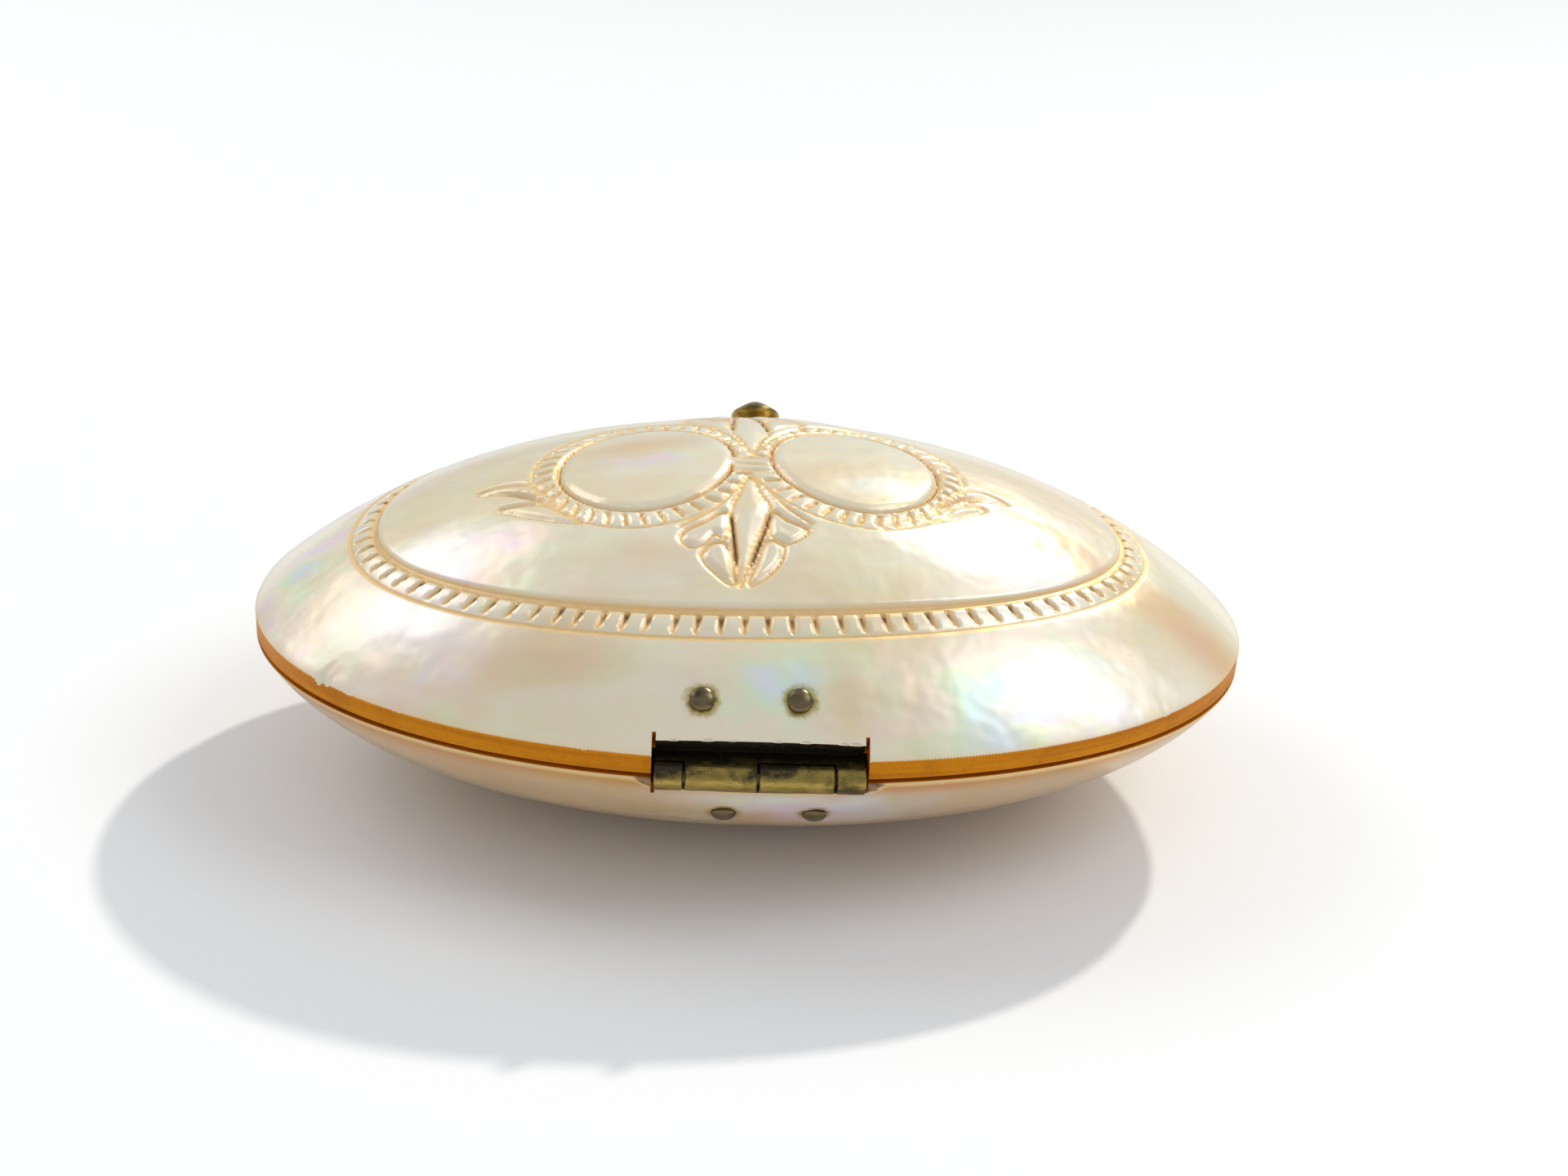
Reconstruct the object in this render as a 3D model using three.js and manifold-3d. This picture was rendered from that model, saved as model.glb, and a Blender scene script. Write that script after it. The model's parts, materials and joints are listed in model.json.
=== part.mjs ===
// Oval pill box: a carved mother-of-pearl lid hinged to a plain mother-of-pearl base, with a riveted brass
// hinge at the back (-Y) and a brass press-knob catch at the front (+Y).
// Millimetres, +Z up. The origin is the middle of the small flat foot that the base stands on.

import * as THREE from 'three';
import { mergeVertices } from 'three/addons/utils/BufferGeometryUtils.js';
import Module from 'manifold-3d';

const wasm = await Module();
wasm.setup();

// ---- driving dimensions ----

const HALF_LENGTH = 35;
const HALF_WIDTH = 24.5;
const OVAL_POWER = 2.14; // 2 is a true ellipse; a little more makes the ends fuller
const WALL = 2.0;
const SEAM_GAP = 0.3; // between the lid's lower face and the base's upper face
const FIT_GAP = 0.08; // between pieces that are riveted together
const HOLE_GAP = 0.1; // all round a shank in its hole

const BASE_DEPTH = 11.2; // from the seam to the lowest point of the full bowl
const BASE_ROUNDNESS = 1.023; // near 1 the wall meets the seam upright
const FOOT_CUT = 0.35; // ground off the bowl's lowest point to make the flat foot
const LID_RISE = 11.8; // from the lid's upright edge to its crown
const LID_ROUNDNESS = 1.331;
const LID_EDGE = 1.4; // height of the lid's upright cut edge
const SEAM = BASE_DEPTH - FOOT_CUT;

const HINGE_Y = -24.1;
const KNUCKLE_ENDS = [-6.65, -4.8, -0.25, 4.5, 6.4]; // alternately base, lid, base, lid
const KNUCKLE_RADIUS = 0.85;
const KNUCKLE_GAP = 0.1;
const PIN_RADIUS = 0.4;
const PIN_BORE_RADIUS = 0.48;
const LEAF_THICKNESS = 0.45;
const LEAF_LENGTH = 4.5; // of the riveted part
const NOTCH_END_GAP = 0.15;
const LEAF_SEAT_LENGTH = 6.5;
const LID_NOTCH_ALONG = 1.91; // up the lid's leaf slope; puts the notch's upper edge 2.3 above the seam
const BASE_NOTCH_DEPTH = 1.0;
const SAW_CUT = { width: 0.24, overrun: 0.55, start: -0.4 }; // where the saw ran past the notch's corners

const RIVET = { headRadius: 0.78, headHeight: 0.42, shankRadius: 0.42, tailRadius: 0.7, tailHeight: 0.3 };
const LID_HINGE_RIVETS_X = [-3.8, 2.2];
const BASE_HINGE_RIVETS_X = [-2.2, 3.5];
const LID_HINGE_RIVET_Y = -21.85;
const BASE_HINGE_RIVET_Y = -22.3;
const CATCH_RIVET_Y = 20.6;
const KEEPER_RIVET_Y = 21.9;

const CATCH_X = 0.5;
const KNOB_Y = 20.5;
const KNOB_HEIGHT = 4.15; // from the lid's surface to the tip, along the knob
const KNOB_RADIUS = 1.95;
const SHANK_RADIUS = 0.8;
const SHANK_PLAY = 0.4; // all round the shank in the lid, so that the knob can tilt
const ESCUTCHEON_RADIUS = 2.2;
const ESCUTCHEON_HEIGHT = 0.45;
const ESCUTCHEON_FOOT = -0.12; // let into the lid by this much
const CATCH_PLATE_HALF = 5.4;
const CATCH_PLATE_ENDS = [-5.2, 2.6]; // along the catch slope
const TONGUE_HALF = 1.95;
const CATCH_RIVET_OFFSET = 3.85;
const KEEPER_HALF = 4.6;
const KEEPER_RIVET_OFFSET = 3.3;

const KEEPER_PLATE_ENDS = [-0.2, 4.3]; // down the keeper slope
const KEEPER_LIP_HALF = 2.6;
const KEEPER_LIP_ENDS = [20.3, 21.45]; // in y; the first is the free edge
const SEAT_ROOM = 0.2; // all round a plate in its seat
const CUT_PAST = 5; // how far a cutting shape runs past what it cuts

const OVAL_SEGMENTS = 60;
const ROUND_SEGMENTS = 12;

// ---- solids from three.js geometry ----

function solid(geometry) {
  geometry.deleteAttribute('normal');
  geometry.deleteAttribute('uv');
  const merged = mergeVertices(geometry, 1e-5);
  const corners = merged.index.array;
  const kept = [];
  for (let i = 0; i < corners.length; i += 3) {
    const [a, b, c] = corners.slice(i, i + 3);
    if (a !== b && b !== c && c !== a) kept.push(a, b, c);
  }
  const vertProperties = new Float32Array(merged.getAttribute('position').array);
  return new wasm.Manifold(new wasm.Mesh({ numProp: 3, vertProperties, triVerts: new Uint32Array(kept) }));
}

function geometryOf(body) {
  const { vertProperties, triVerts } = body.getMesh();
  const geometry = new THREE.BufferGeometry();
  geometry.setAttribute('position', new THREE.BufferAttribute(vertProperties, 3));
  geometry.setIndex(new THREE.BufferAttribute(triVerts, 1));
  geometry.computeVertexNormals();
  return geometry;
}

const cut = (body, ...tools) => tools.reduce((left, tool) => left.subtract(tool), body);
const join = (body, ...others) => others.reduce((whole, other) => whole.add(other), body);

// A place on a slope: y and z of its origin, and the turn about X that makes local +Y run along the slope.
const slope = (y, z, degrees) => ({ y, z, angle: THREE.MathUtils.degToRad(degrees) });

function onSlope(geometry, place, x = 0) {
  return geometry.rotateX(place.angle).translate(x, place.y, place.z);
}

// The point of a slope that lies along it and above it by these amounts.
function pointOn(place, along, above) {
  const cos = Math.cos(place.angle);
  const sin = Math.sin(place.angle);
  return [place.y + along * cos - above * sin, place.z + along * sin + above * cos];
}

// A box between two corners, each [x, y, z], in the frame of a slope.
function boxOn(place, low, high) {
  const size = high.map((value, axis) => value - low[axis]);
  const middle = high.map((value, axis) => (value + low[axis]) / 2);
  return solid(onSlope(new THREE.BoxGeometry(...size).translate(...middle), place));
}

const LEVEL = slope(0, 0, 0);

// A round bar standing on a slope, from one height above it to another.
function roundOn(place, x, radius, low, high, segments = ROUND_SEGMENTS) {
  const bar = new THREE.CylinderGeometry(radius, radius, high - low, segments);
  return solid(onSlope(bar.rotateX(Math.PI / 2).translate(0, 0, (low + high) / 2), place, x));
}

// A round bar along X through a point of the YZ plane.
function barAlongX(radius, x0, x1, y, z, segments = 20) {
  const bar = new THREE.CylinderGeometry(radius, radius, x1 - x0, segments);
  return solid(bar.rotateZ(Math.PI / 2).translate((x0 + x1) / 2, y, z));
}

// A turned piece from its [radius, height] outline, standing on the origin along +Z.
function turned(outline, segments = ROUND_SEGMENTS) {
  const points = outline.map(([radius, height]) => new THREE.Vector2(radius, height));
  return new THREE.LatheGeometry(points, segments).rotateX(Math.PI / 2);
}

// A bent metal strip: its middle line as [y, z] points, its thickness, and the stretch of X that it covers.
function strip(line, thickness, x0, x1) {
  const points = line.map(([y, z]) => new THREE.Vector2(y, z));
  const sides = [[], []];
  points.forEach((point, i) => {
    const before = points[Math.max(i, 1)].clone().sub(points[Math.max(i, 1) - 1]).normalize();
    const next = Math.min(i + 1, points.length - 1);
    const after = points[next].clone().sub(points[next - 1]).normalize();
    const across = new THREE.Vector2(-before.y - after.y, before.x + after.x).normalize();
    const reach = thickness / 2 / Math.sqrt((1 + before.dot(after)) / 2);
    sides[0].push(point.clone().addScaledVector(across, reach));
    sides[1].unshift(point.clone().addScaledVector(across, -reach));
  });
  const profile = new THREE.Shape([...sides[1], ...sides[0]]);
  const bent = new THREE.ExtrudeGeometry(profile, { depth: x1 - x0, bevelEnabled: false });
  // the drawing's x, y and depth become Y, Z and X
  bent.applyMatrix4(new THREE.Matrix4().set(0, 0, 1, x0, 1, 0, 0, 0, 0, 1, 0, 0, 0, 0, 0, 1));
  return solid(bent);
}

// ---- the two shells ----

// Height of a dome of unit height over a unit radius; a roundness near 1 makes its edge steep.
function dome(radius, roundness) {
  const foot = Math.sqrt(roundness ** 2 - 1);
  return (Math.sqrt(roundness ** 2 - radius ** 2) - foot) / (roundness - foot);
}

function domeOutline(rings, roundness, base, rise, from = 0) {
  const outline = [];
  for (let i = 0; i <= rings; i++) {
    const radius = Math.sin((Math.PI / 2) * (from + (1 - from) * (i / rings)));
    outline.push([radius, base + rise * dome(radius, roundness)]);
  }
  return outline;
}

// A solid with an oval plan from an outline of [part of the half size, height].
function oval(outline, halfLength, halfWidth) {
  const body = turned(outline, OVAL_SEGMENTS);
  const position = body.getAttribute('position');
  for (let i = 0; i < position.count; i++) {
    const x = position.getX(i);
    const y = position.getY(i);
    const radius = Math.hypot(x, y);
    if (radius < 1e-6) {
      position.setXY(i, 0, 0);
      continue;
    }
    const stretch = (value) => Math.sign(value) * radius * Math.abs(value / radius) ** (2 / OVAL_POWER);
    position.setXY(i, halfLength * stretch(x), halfWidth * stretch(y));
  }
  return solid(body);
}

function ovalRadius(x, y) {
  const share = Math.abs(x / HALF_LENGTH) ** OVAL_POWER + Math.abs(y / HALF_WIDTH) ** OVAL_POWER;
  return share ** (1 / OVAL_POWER);
}

const LID_EDGE_Z = SEAM + LID_EDGE;
const lidTop = (x, y) => LID_EDGE_Z + LID_RISE * dome(ovalRadius(x, y), LID_ROUNDNESS);
const baseUnder = (x, y) => SEAM - BASE_DEPTH * dome(ovalRadius(x, y), BASE_ROUNDNESS);

function lidBlank() {
  const bottom = SEAM + SEAM_GAP / 2;
  const outer = domeOutline(12, LID_ROUNDNESS, LID_EDGE_Z, LID_RISE).reverse();
  const inner = domeOutline(8, LID_ROUNDNESS, bottom, LID_EDGE_Z + LID_RISE - WALL - bottom).reverse();
  return cut(
    oval([[0, bottom], [1, bottom], ...outer], HALF_LENGTH, HALF_WIDTH),
    oval([[0, bottom - 1], [1, bottom - 1], ...inner], HALF_LENGTH - WALL, HALF_WIDTH - WALL),
  );
}

function baseBlank() {
  const top = SEAM - SEAM_GAP / 2;
  const depth = BASE_DEPTH - SEAM_GAP / 2;
  const footShare = 0.145; // where the flat foot meets the bowl, as a share of the outline's turn
  const outer = domeOutline(12, BASE_ROUNDNESS, top, -depth, footShare);
  outer[0][1] = 0;
  const inner = domeOutline(8, BASE_ROUNDNESS, top, WALL - depth);
  return cut(
    oval([[0, 0], ...outer, [0, top]], HALF_LENGTH, HALF_WIDTH),
    oval([...inner, [1, top + 1], [0, top + 1]], HALF_LENGTH - WALL, HALF_WIDTH - WALL),
  );
}

// ---- where the fittings sit ----

// Each hinge leaf leaves the barrel level and then follows its shell's wall.
const LID_LEAF_DEGREES = 45;
const LID_LEAF_SLOPE = slope(HINGE_Y, SEAM, LID_LEAF_DEGREES);
const LID_LEAF_DEPTH = -0.8; // of the leaf's middle line, across that slope from the barrel's centre
const BASE_LEAF_DEGREES = -48;
const BASE_LEAF_SLOPE = slope(HINGE_Y, SEAM, BASE_LEAF_DEGREES);
const BASE_LEAF_DEPTH = 1.055;
const LEAF_RISE = KNUCKLE_RADIUS - LEAF_THICKNESS / 2; // level part's height from the barrel's centre

const CATCH_DEGREES = -44;
const CATCH_SLOPE = slope(KNOB_Y, lidTop(CATCH_X, KNOB_Y), CATCH_DEGREES);
const CATCH_DEPTH = -2.155; // of the catch plate's middle
const KEEPER_DEGREES = 226.3;
const KEEPER_SLOPE = slope(22.0, SEAM - 0.9, KEEPER_DEGREES);

const TONGUE_HINGE_ALONG = -4.2; // where the spring tongue flexes, along the catch slope
const TONGUE_BEND_ALONG = 1.45; // where it turns down into the base

const NOTCH = [KNUCKLE_ENDS[0] - NOTCH_END_GAP, KNUCKLE_ENDS[4] + NOTCH_END_GAP];

function lidNotch() {
  const [left, right] = NOTCH;
  const nickEnd = LID_NOTCH_ALONG + SAW_CUT.overrun;
  const nick = (x) => {
    return boxOn(LID_LEAF_SLOPE, [x, -CUT_PAST, SAW_CUT.start], [x + SAW_CUT.width, nickEnd, CUT_PAST]);
  };
  return [
    boxOn(LID_LEAF_SLOPE, [left, -CUT_PAST, -CUT_PAST], [right, LID_NOTCH_ALONG, CUT_PAST]),
    nick(left),
    nick(right - SAW_CUT.width),
  ];
}

function baseNotch() {
  const [left, right] = NOTCH;
  const floor = SEAM - BASE_NOTCH_DEPTH;
  const outside = HINGE_Y - CUT_PAST;
  const nickFloor = floor - SAW_CUT.overrun;
  return [
    boxOn(LEVEL, [left, outside, floor], [right, HINGE_Y + CUT_PAST, SEAM + CUT_PAST]),
    boxOn(LEVEL, [left, outside, nickFloor], [left + SAW_CUT.width, HINGE_Y + 1, SEAM]),
  ];
}

// Each rivet's place: its head's seat on the shell, turned so that local +Z points out of the shell.
const seatOn = (wall, y, degrees) => (x) => slope(y, wall(x, y), degrees);
const lidHingeRivet = seatOn(lidTop, LID_HINGE_RIVET_Y, LID_LEAF_DEGREES);
const baseHingeRivet = seatOn(baseUnder, BASE_HINGE_RIVET_Y, BASE_LEAF_DEGREES + 180);
const catchRivet = seatOn(lidTop, CATCH_RIVET_Y, CATCH_DEGREES);
const keeperRivet = seatOn(baseUnder, KEEPER_RIVET_Y, KEEPER_DEGREES);

const HOLE_RADIUS = RIVET.shankRadius + HOLE_GAP;
const rivetHole = (place, x) => roundOn(place, x, HOLE_RADIUS, -CUT_PAST, 2, 10);
const aroundCatch = (offset) => [CATCH_X - offset, CATCH_X + offset];

// A box that spans the catch's middle by half widths, in the frame of a slope.
function boxAcrossCatch(place, half, [alongLow, alongHigh], [low, high]) {
  return boxOn(place, [CATCH_X - half, alongLow, low], [CATCH_X + half, alongHigh, high]);
}

function lidShell() {
  const leafSeat = LID_LEAF_DEPTH + LEAF_THICKNESS / 2 + FIT_GAP;
  const plateSeat = CATCH_DEPTH + LEAF_THICKNESS / 2 + FIT_GAP;
  const plateSpan = [CATCH_PLATE_ENDS[0] - SEAT_ROOM, CATCH_PLATE_ENDS[1] + 2 * SEAT_ROOM];
  return cut(
    lidBlank(),
    ...lidNotch(),
    boxOn(LID_LEAF_SLOPE, [NOTCH[0], 0, -CUT_PAST], [NOTCH[1], LEAF_SEAT_LENGTH, leafSeat]),
    boxAcrossCatch(CATCH_SLOPE, CATCH_PLATE_HALF + SEAT_ROOM, plateSpan, [-CUT_PAST, plateSeat]),
    ...LID_HINGE_RIVETS_X.map((x) => rivetHole(lidHingeRivet(x), x)),
    ...aroundCatch(CATCH_RIVET_OFFSET).map((x) => rivetHole(catchRivet(x), x)),
    roundOn(CATCH_SLOPE, CATCH_X, SHANK_RADIUS + SHANK_PLAY, -CUT_PAST, CUT_PAST),
    roundOn(CATCH_SLOPE, CATCH_X, ESCUTCHEON_RADIUS + HOLE_GAP, ESCUTCHEON_FOOT - FIT_GAP, CUT_PAST),
  );
}

function baseShell() {
  const leafSeat = BASE_LEAF_DEPTH - LEAF_THICKNESS / 2 - FIT_GAP;
  const leafSeatStart = 0.9;
  const plateSpan = [KEEPER_PLATE_ENDS[0] - 1.5 * SEAT_ROOM, KEEPER_PLATE_ENDS[1] + 1.5 * SEAT_ROOM];
  return cut(
    baseBlank(),
    ...baseNotch(),
    boxOn(BASE_LEAF_SLOPE, [NOTCH[0], leafSeatStart, leafSeat], [NOTCH[1], LEAF_SEAT_LENGTH, CUT_PAST]),
    boxAcrossCatch(KEEPER_SLOPE, KEEPER_HALF + SEAT_ROOM, plateSpan, [-CUT_PAST, FIT_GAP]),
    ...BASE_HINGE_RIVETS_X.map((x) => rivetHole(baseHingeRivet(x), x)),
    ...aroundCatch(KEEPER_RIVET_OFFSET).map((x) => rivetHole(keeperRivet(x), x)),
  );
}

// ---- the hinge ----

// One leaf: its strip, the knuckles that belong to it, and clearance round the other leaf's knuckles.
function hingeLeaf(line, ownKnuckles, otherKnuckles, rivetPlaces) {
  const left = KNUCKLE_ENDS[0];
  const right = KNUCKLE_ENDS[4];
  // a bar along the barrel over one knuckle, longer at each end by some amount
  const bar = (radius, index, longer) => {
    return barAlongX(radius, KNUCKLE_ENDS[index] - longer, KNUCKLE_ENDS[index + 1] + longer, HINGE_Y, SEAM);
  };
  const knuckle = (index) => bar(KNUCKLE_RADIUS, index, -KNUCKLE_GAP / 2);
  const clearance = (index) => bar(KNUCKLE_RADIUS + HOLE_GAP, index, KNUCKLE_GAP / 2);
  return cut(
    join(
      cut(
        strip(line, LEAF_THICKNESS, left + KNUCKLE_GAP / 2, right - KNUCKLE_GAP / 2),
        ...otherKnuckles.map(clearance),
      ),
      ...ownKnuckles.map(knuckle),
    ),
    barAlongX(PIN_BORE_RADIUS, left - CUT_PAST, right + CUT_PAST, HINGE_Y, SEAM, 16),
    ...rivetPlaces.map(([place, x]) => rivetHole(place, x)),
  );
}

// The leaf's middle line: from over (or under) the barrel, level to the wall, then along it.
function leafLine(place, depth, rise) {
  const cos = Math.cos(place.angle);
  const sin = Math.sin(place.angle);
  const bendY = HINGE_Y + (rise * cos - depth) / sin;
  const bend = [bendY, SEAM + rise];
  return [[HINGE_Y, SEAM + rise], bend, [bend[0] + LEAF_LENGTH * cos, bend[1] + LEAF_LENGTH * sin]];
}

const lidLeaf = () => hingeLeaf(
  leafLine(LID_LEAF_SLOPE, LID_LEAF_DEPTH, LEAF_RISE),
  [1, 3],
  [0, 2],
  LID_HINGE_RIVETS_X.map((x) => [lidHingeRivet(x), x]),
);

const baseLeaf = () => hingeLeaf(
  leafLine(BASE_LEAF_SLOPE, BASE_LEAF_DEPTH, -LEAF_RISE),
  [0, 2],
  [1, 3],
  BASE_HINGE_RIVETS_X.map((x) => [baseHingeRivet(x), x]),
);

function hingePin() {
  const inset = 0.07; // of its ends in the barrel
  return barAlongX(PIN_RADIUS, KNUCKLE_ENDS[0] + inset, KNUCKLE_ENDS[4] - inset, HINGE_Y, SEAM, 16);
}

// A rivet through the shell and the metal behind it, with a domed head outside and a flat tail inside.
// depth is from the shell's surface to the far side of that metal.
function rivet(depth) {
  const seat = FIT_GAP;
  const tail = -depth - FIT_GAP;
  const outline = [
    [0, tail - RIVET.tailHeight],
    [RIVET.tailRadius * 0.7, tail - RIVET.tailHeight],
    [RIVET.tailRadius, tail - RIVET.tailHeight * 0.4],
    [RIVET.tailRadius, tail],
    [RIVET.shankRadius, tail],
    [RIVET.shankRadius, seat],
    [RIVET.headRadius, seat],
  ];
  for (let i = 1; i <= 3; i++) {
    const turn = (Math.PI / 2) * (i / 3);
    outline.push([RIVET.headRadius * Math.cos(turn), seat + RIVET.headHeight * Math.sin(turn)]);
  }
  outline[outline.length - 1][0] = 0;
  return solid(turned(outline));
}

// How far a leaf's or plate's inner face lies under a rivet's seat.
function depthUnder(place, planePlace, planeDepth) {
  const [planeY, planeZ] = pointOn(planePlace, 0, planeDepth);
  const outY = -Math.sin(place.angle);
  const outZ = Math.cos(place.angle);
  return (place.y - planeY) * outY + (place.z - planeZ) * outZ;
}

// ---- the catch ----

function catchPlate() {
  const faces = [CATCH_DEPTH - LEAF_THICKNESS / 2, CATCH_DEPTH + LEAF_THICKNESS / 2];
  const slotSpan = [TONGUE_HINGE_ALONG - HOLE_GAP, CUT_PAST];
  return cut(
    boxAcrossCatch(CATCH_SLOPE, CATCH_PLATE_HALF, CATCH_PLATE_ENDS, faces),
    boxAcrossCatch(CATCH_SLOPE, TONGUE_HALF + HOLE_GAP, slotSpan, [-CUT_PAST, CUT_PAST]),
    ...aroundCatch(CATCH_RIVET_OFFSET).map((x) => rivetHole(catchRivet(x), x)),
  );
}

const TONGUE_Y = 19.0;
const TONGUE_DROP_Z = SEAM + 0.6; // where the tongue turns upright
const HOOK_TIP_Y = 19.8;
const HOOK_Z = SEAM - 1.9;
const HOOK_THICKNESS = 0.4;

// The tongue runs under the plate's plane past the knob's shank, then hangs down into the base.
function catchSpring() {
  const line = [
    pointOn(CATCH_SLOPE, TONGUE_HINGE_ALONG, CATCH_DEPTH),
    pointOn(CATCH_SLOPE, TONGUE_BEND_ALONG, CATCH_DEPTH),
    [TONGUE_Y, TONGUE_DROP_Z],
    [TONGUE_Y, HOOK_Z],
  ];
  return cut(
    join(
      strip(line, LEAF_THICKNESS, CATCH_X - TONGUE_HALF, CATCH_X + TONGUE_HALF),
      boxAcrossCatch(LEVEL, TONGUE_HALF, [TONGUE_Y, HOOK_TIP_Y], [HOOK_Z, HOOK_Z + HOOK_THICKNESS]),
    ),
    roundOn(CATCH_SLOPE, CATCH_X, SHANK_RADIUS + HOLE_GAP, -CUT_PAST, 0),
  );
}

const TONGUE_UNDERSIDE = CATCH_DEPTH - LEAF_THICKNESS / 2;
const BURR_HEIGHT = 0.3;
const BURR_RADIUS = 1.2;

// A turned knob: riveted end, shank, bead, waist, and a head with a rounded cone on top.
function knob() {
  const tail = TONGUE_UNDERSIDE - BURR_HEIGHT - 2 * FIT_GAP;
  const tip = KNOB_HEIGHT;
  const coneFlank = THREE.MathUtils.degToRad(37);
  const tipRadius = 1.5;
  const flankTop = tipRadius * Math.sin(coneFlank);
  const flankTopHeight = tip - tipRadius * (1 - Math.cos(coneFlank));
  const rimHeight = flankTopHeight - (KNOB_RADIUS - flankTop) * Math.tan(coneFlank);
  const outline = [
    [0, tail - 0.3],
    [0.8, tail - 0.3],
    [1.1, tail - 0.15],
    [1.1, tail],
    [SHANK_RADIUS, tail],
    [SHANK_RADIUS, 0.9],
    [SHANK_RADIUS + 0.5, 1.05],
    [SHANK_RADIUS + 0.5, 1.35],
    [SHANK_RADIUS + 0.1, 1.6],
    [SHANK_RADIUS + 0.2, rimHeight - 1.0],
    [KNOB_RADIUS - 0.35, rimHeight - 0.55],
    [KNOB_RADIUS, rimHeight - 0.35],
    [KNOB_RADIUS, rimHeight],
    [flankTop, flankTopHeight],
  ];
  for (const share of [0.6, 0.25]) {
    const turn = coneFlank * share;
    outline.push([tipRadius * Math.sin(turn), tip - tipRadius * (1 - Math.cos(turn))]);
  }
  outline.push([0, tip]);
  return solid(turned(outline, 18));
}

function knobBurr() {
  const top = TONGUE_UNDERSIDE - FIT_GAP;
  const inner = SHANK_RADIUS + HOLE_GAP;
  const low = top - BURR_HEIGHT;
  const outline = [[inner, low], [BURR_RADIUS, low], [BURR_RADIUS, top], [inner, top]];
  return solid(turned([...outline, outline[0]], 16));
}

function escutcheon() {
  const inner = SHANK_RADIUS + SHANK_PLAY;
  const top = ESCUTCHEON_FOOT + ESCUTCHEON_HEIGHT;
  const outline = [
    [inner, ESCUTCHEON_FOOT],
    [ESCUTCHEON_RADIUS, ESCUTCHEON_FOOT],
    [ESCUTCHEON_RADIUS, top - 0.15],
    [ESCUTCHEON_RADIUS - 0.25, top],
    [inner, top],
  ];
  return solid(turned([...outline, outline[0]], 18));
}

// A plate riveted inside the base's front wall, with a lip that the tongue's hook snaps under.
function keeperPlate() {
  const lipTop = SEAM - 0.7;
  return cut(
    join(
      boxAcrossCatch(KEEPER_SLOPE, KEEPER_HALF, KEEPER_PLATE_ENDS, [-FIT_GAP - LEAF_THICKNESS, -FIT_GAP]),
      boxAcrossCatch(LEVEL, KEEPER_LIP_HALF, KEEPER_LIP_ENDS, [lipTop - HOOK_THICKNESS, lipTop]),
    ),
    ...aroundCatch(KEEPER_RIVET_OFFSET).map((x) => rivetHole(keeperRivet(x), x)),
  );
}

// ---- the assembly ----

const pearl = new THREE.MeshStandardMaterial({ color: 0xe8ddc8, roughness: 0.28, metalness: 0.0 });
const brass = new THREE.MeshStandardMaterial({ color: 0x7d6a33, roughness: 0.42, metalness: 0.9 });
const bronze = new THREE.MeshStandardMaterial({ color: 0x5a4b32, roughness: 0.38, metalness: 0.9 });

const box = new THREE.Group();

function part(name, body, material) {
  const mesh = new THREE.Mesh(geometryOf(body), material);
  mesh.name = name;
  box.add(mesh);
  return mesh;
}

// A piece drawn standing on the origin, set onto a slope.
function fitting(name, body, material, place, x) {
  const mesh = part(name, body, material);
  mesh.rotation.x = place.angle;
  mesh.position.set(x, place.y, place.z);
}

part('base_shell', baseShell(), pearl);
part('lid_shell', lidShell(), pearl);
part('base_hinge_leaf', baseLeaf(), brass);
part('lid_hinge_leaf', lidLeaf(), brass);
part('hinge_pin', hingePin(), bronze);

const SIDES = ['left', 'right'];

SIDES.forEach((side, i) => {
  const lidX = LID_HINGE_RIVETS_X[i];
  const lidPlace = lidHingeRivet(lidX);
  const lidDepth = depthUnder(lidPlace, LID_LEAF_SLOPE, LID_LEAF_DEPTH - LEAF_THICKNESS / 2);
  fitting(`lid_hinge_rivet_${side}`, rivet(lidDepth), bronze, lidPlace, lidX);

  const baseX = BASE_HINGE_RIVETS_X[i];
  const basePlace = baseHingeRivet(baseX);
  const baseDepth = depthUnder(basePlace, BASE_LEAF_SLOPE, BASE_LEAF_DEPTH + LEAF_THICKNESS / 2);
  fitting(`base_hinge_rivet_${side}`, rivet(baseDepth), bronze, basePlace, baseX);

  const catchX = aroundCatch(CATCH_RIVET_OFFSET)[i];
  const catchPlace = catchRivet(catchX);
  const catchDepth = depthUnder(catchPlace, CATCH_SLOPE, TONGUE_UNDERSIDE);
  fitting(`catch_rivet_${side}`, rivet(catchDepth), bronze, catchPlace, catchX);

  const keeperX = aroundCatch(KEEPER_RIVET_OFFSET)[i];
  const keeperPlace = keeperRivet(keeperX);
  const keeperDepth = depthUnder(keeperPlace, KEEPER_SLOPE, -FIT_GAP - LEAF_THICKNESS);
  fitting(`keeper_rivet_${side}`, rivet(keeperDepth), bronze, keeperPlace, keeperX);
});

part('catch_plate', catchPlate(), brass);
part('catch_spring', catchSpring(), brass);
fitting('catch_knob', knob(), brass, CATCH_SLOPE, CATCH_X);
fitting('knob_burr', knobBurr(), brass, CATCH_SLOPE, CATCH_X);
fitting('knob_escutcheon', escutcheon(), brass, CATCH_SLOPE, CATCH_X);
part('keeper_plate', keeperPlate(), brass);

export default box;
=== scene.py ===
"""The looks of an oval mother-of-pearl pill box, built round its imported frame.

Shapes are worked out in millimetres in the frame's own axes (+X along the hinge, +Y to the catch, +Z up) and
become metres when a mesh is made.
"""

import json
import math

import bmesh
import bpy
import numpy as np
from mathutils import Matrix, Vector


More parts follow.
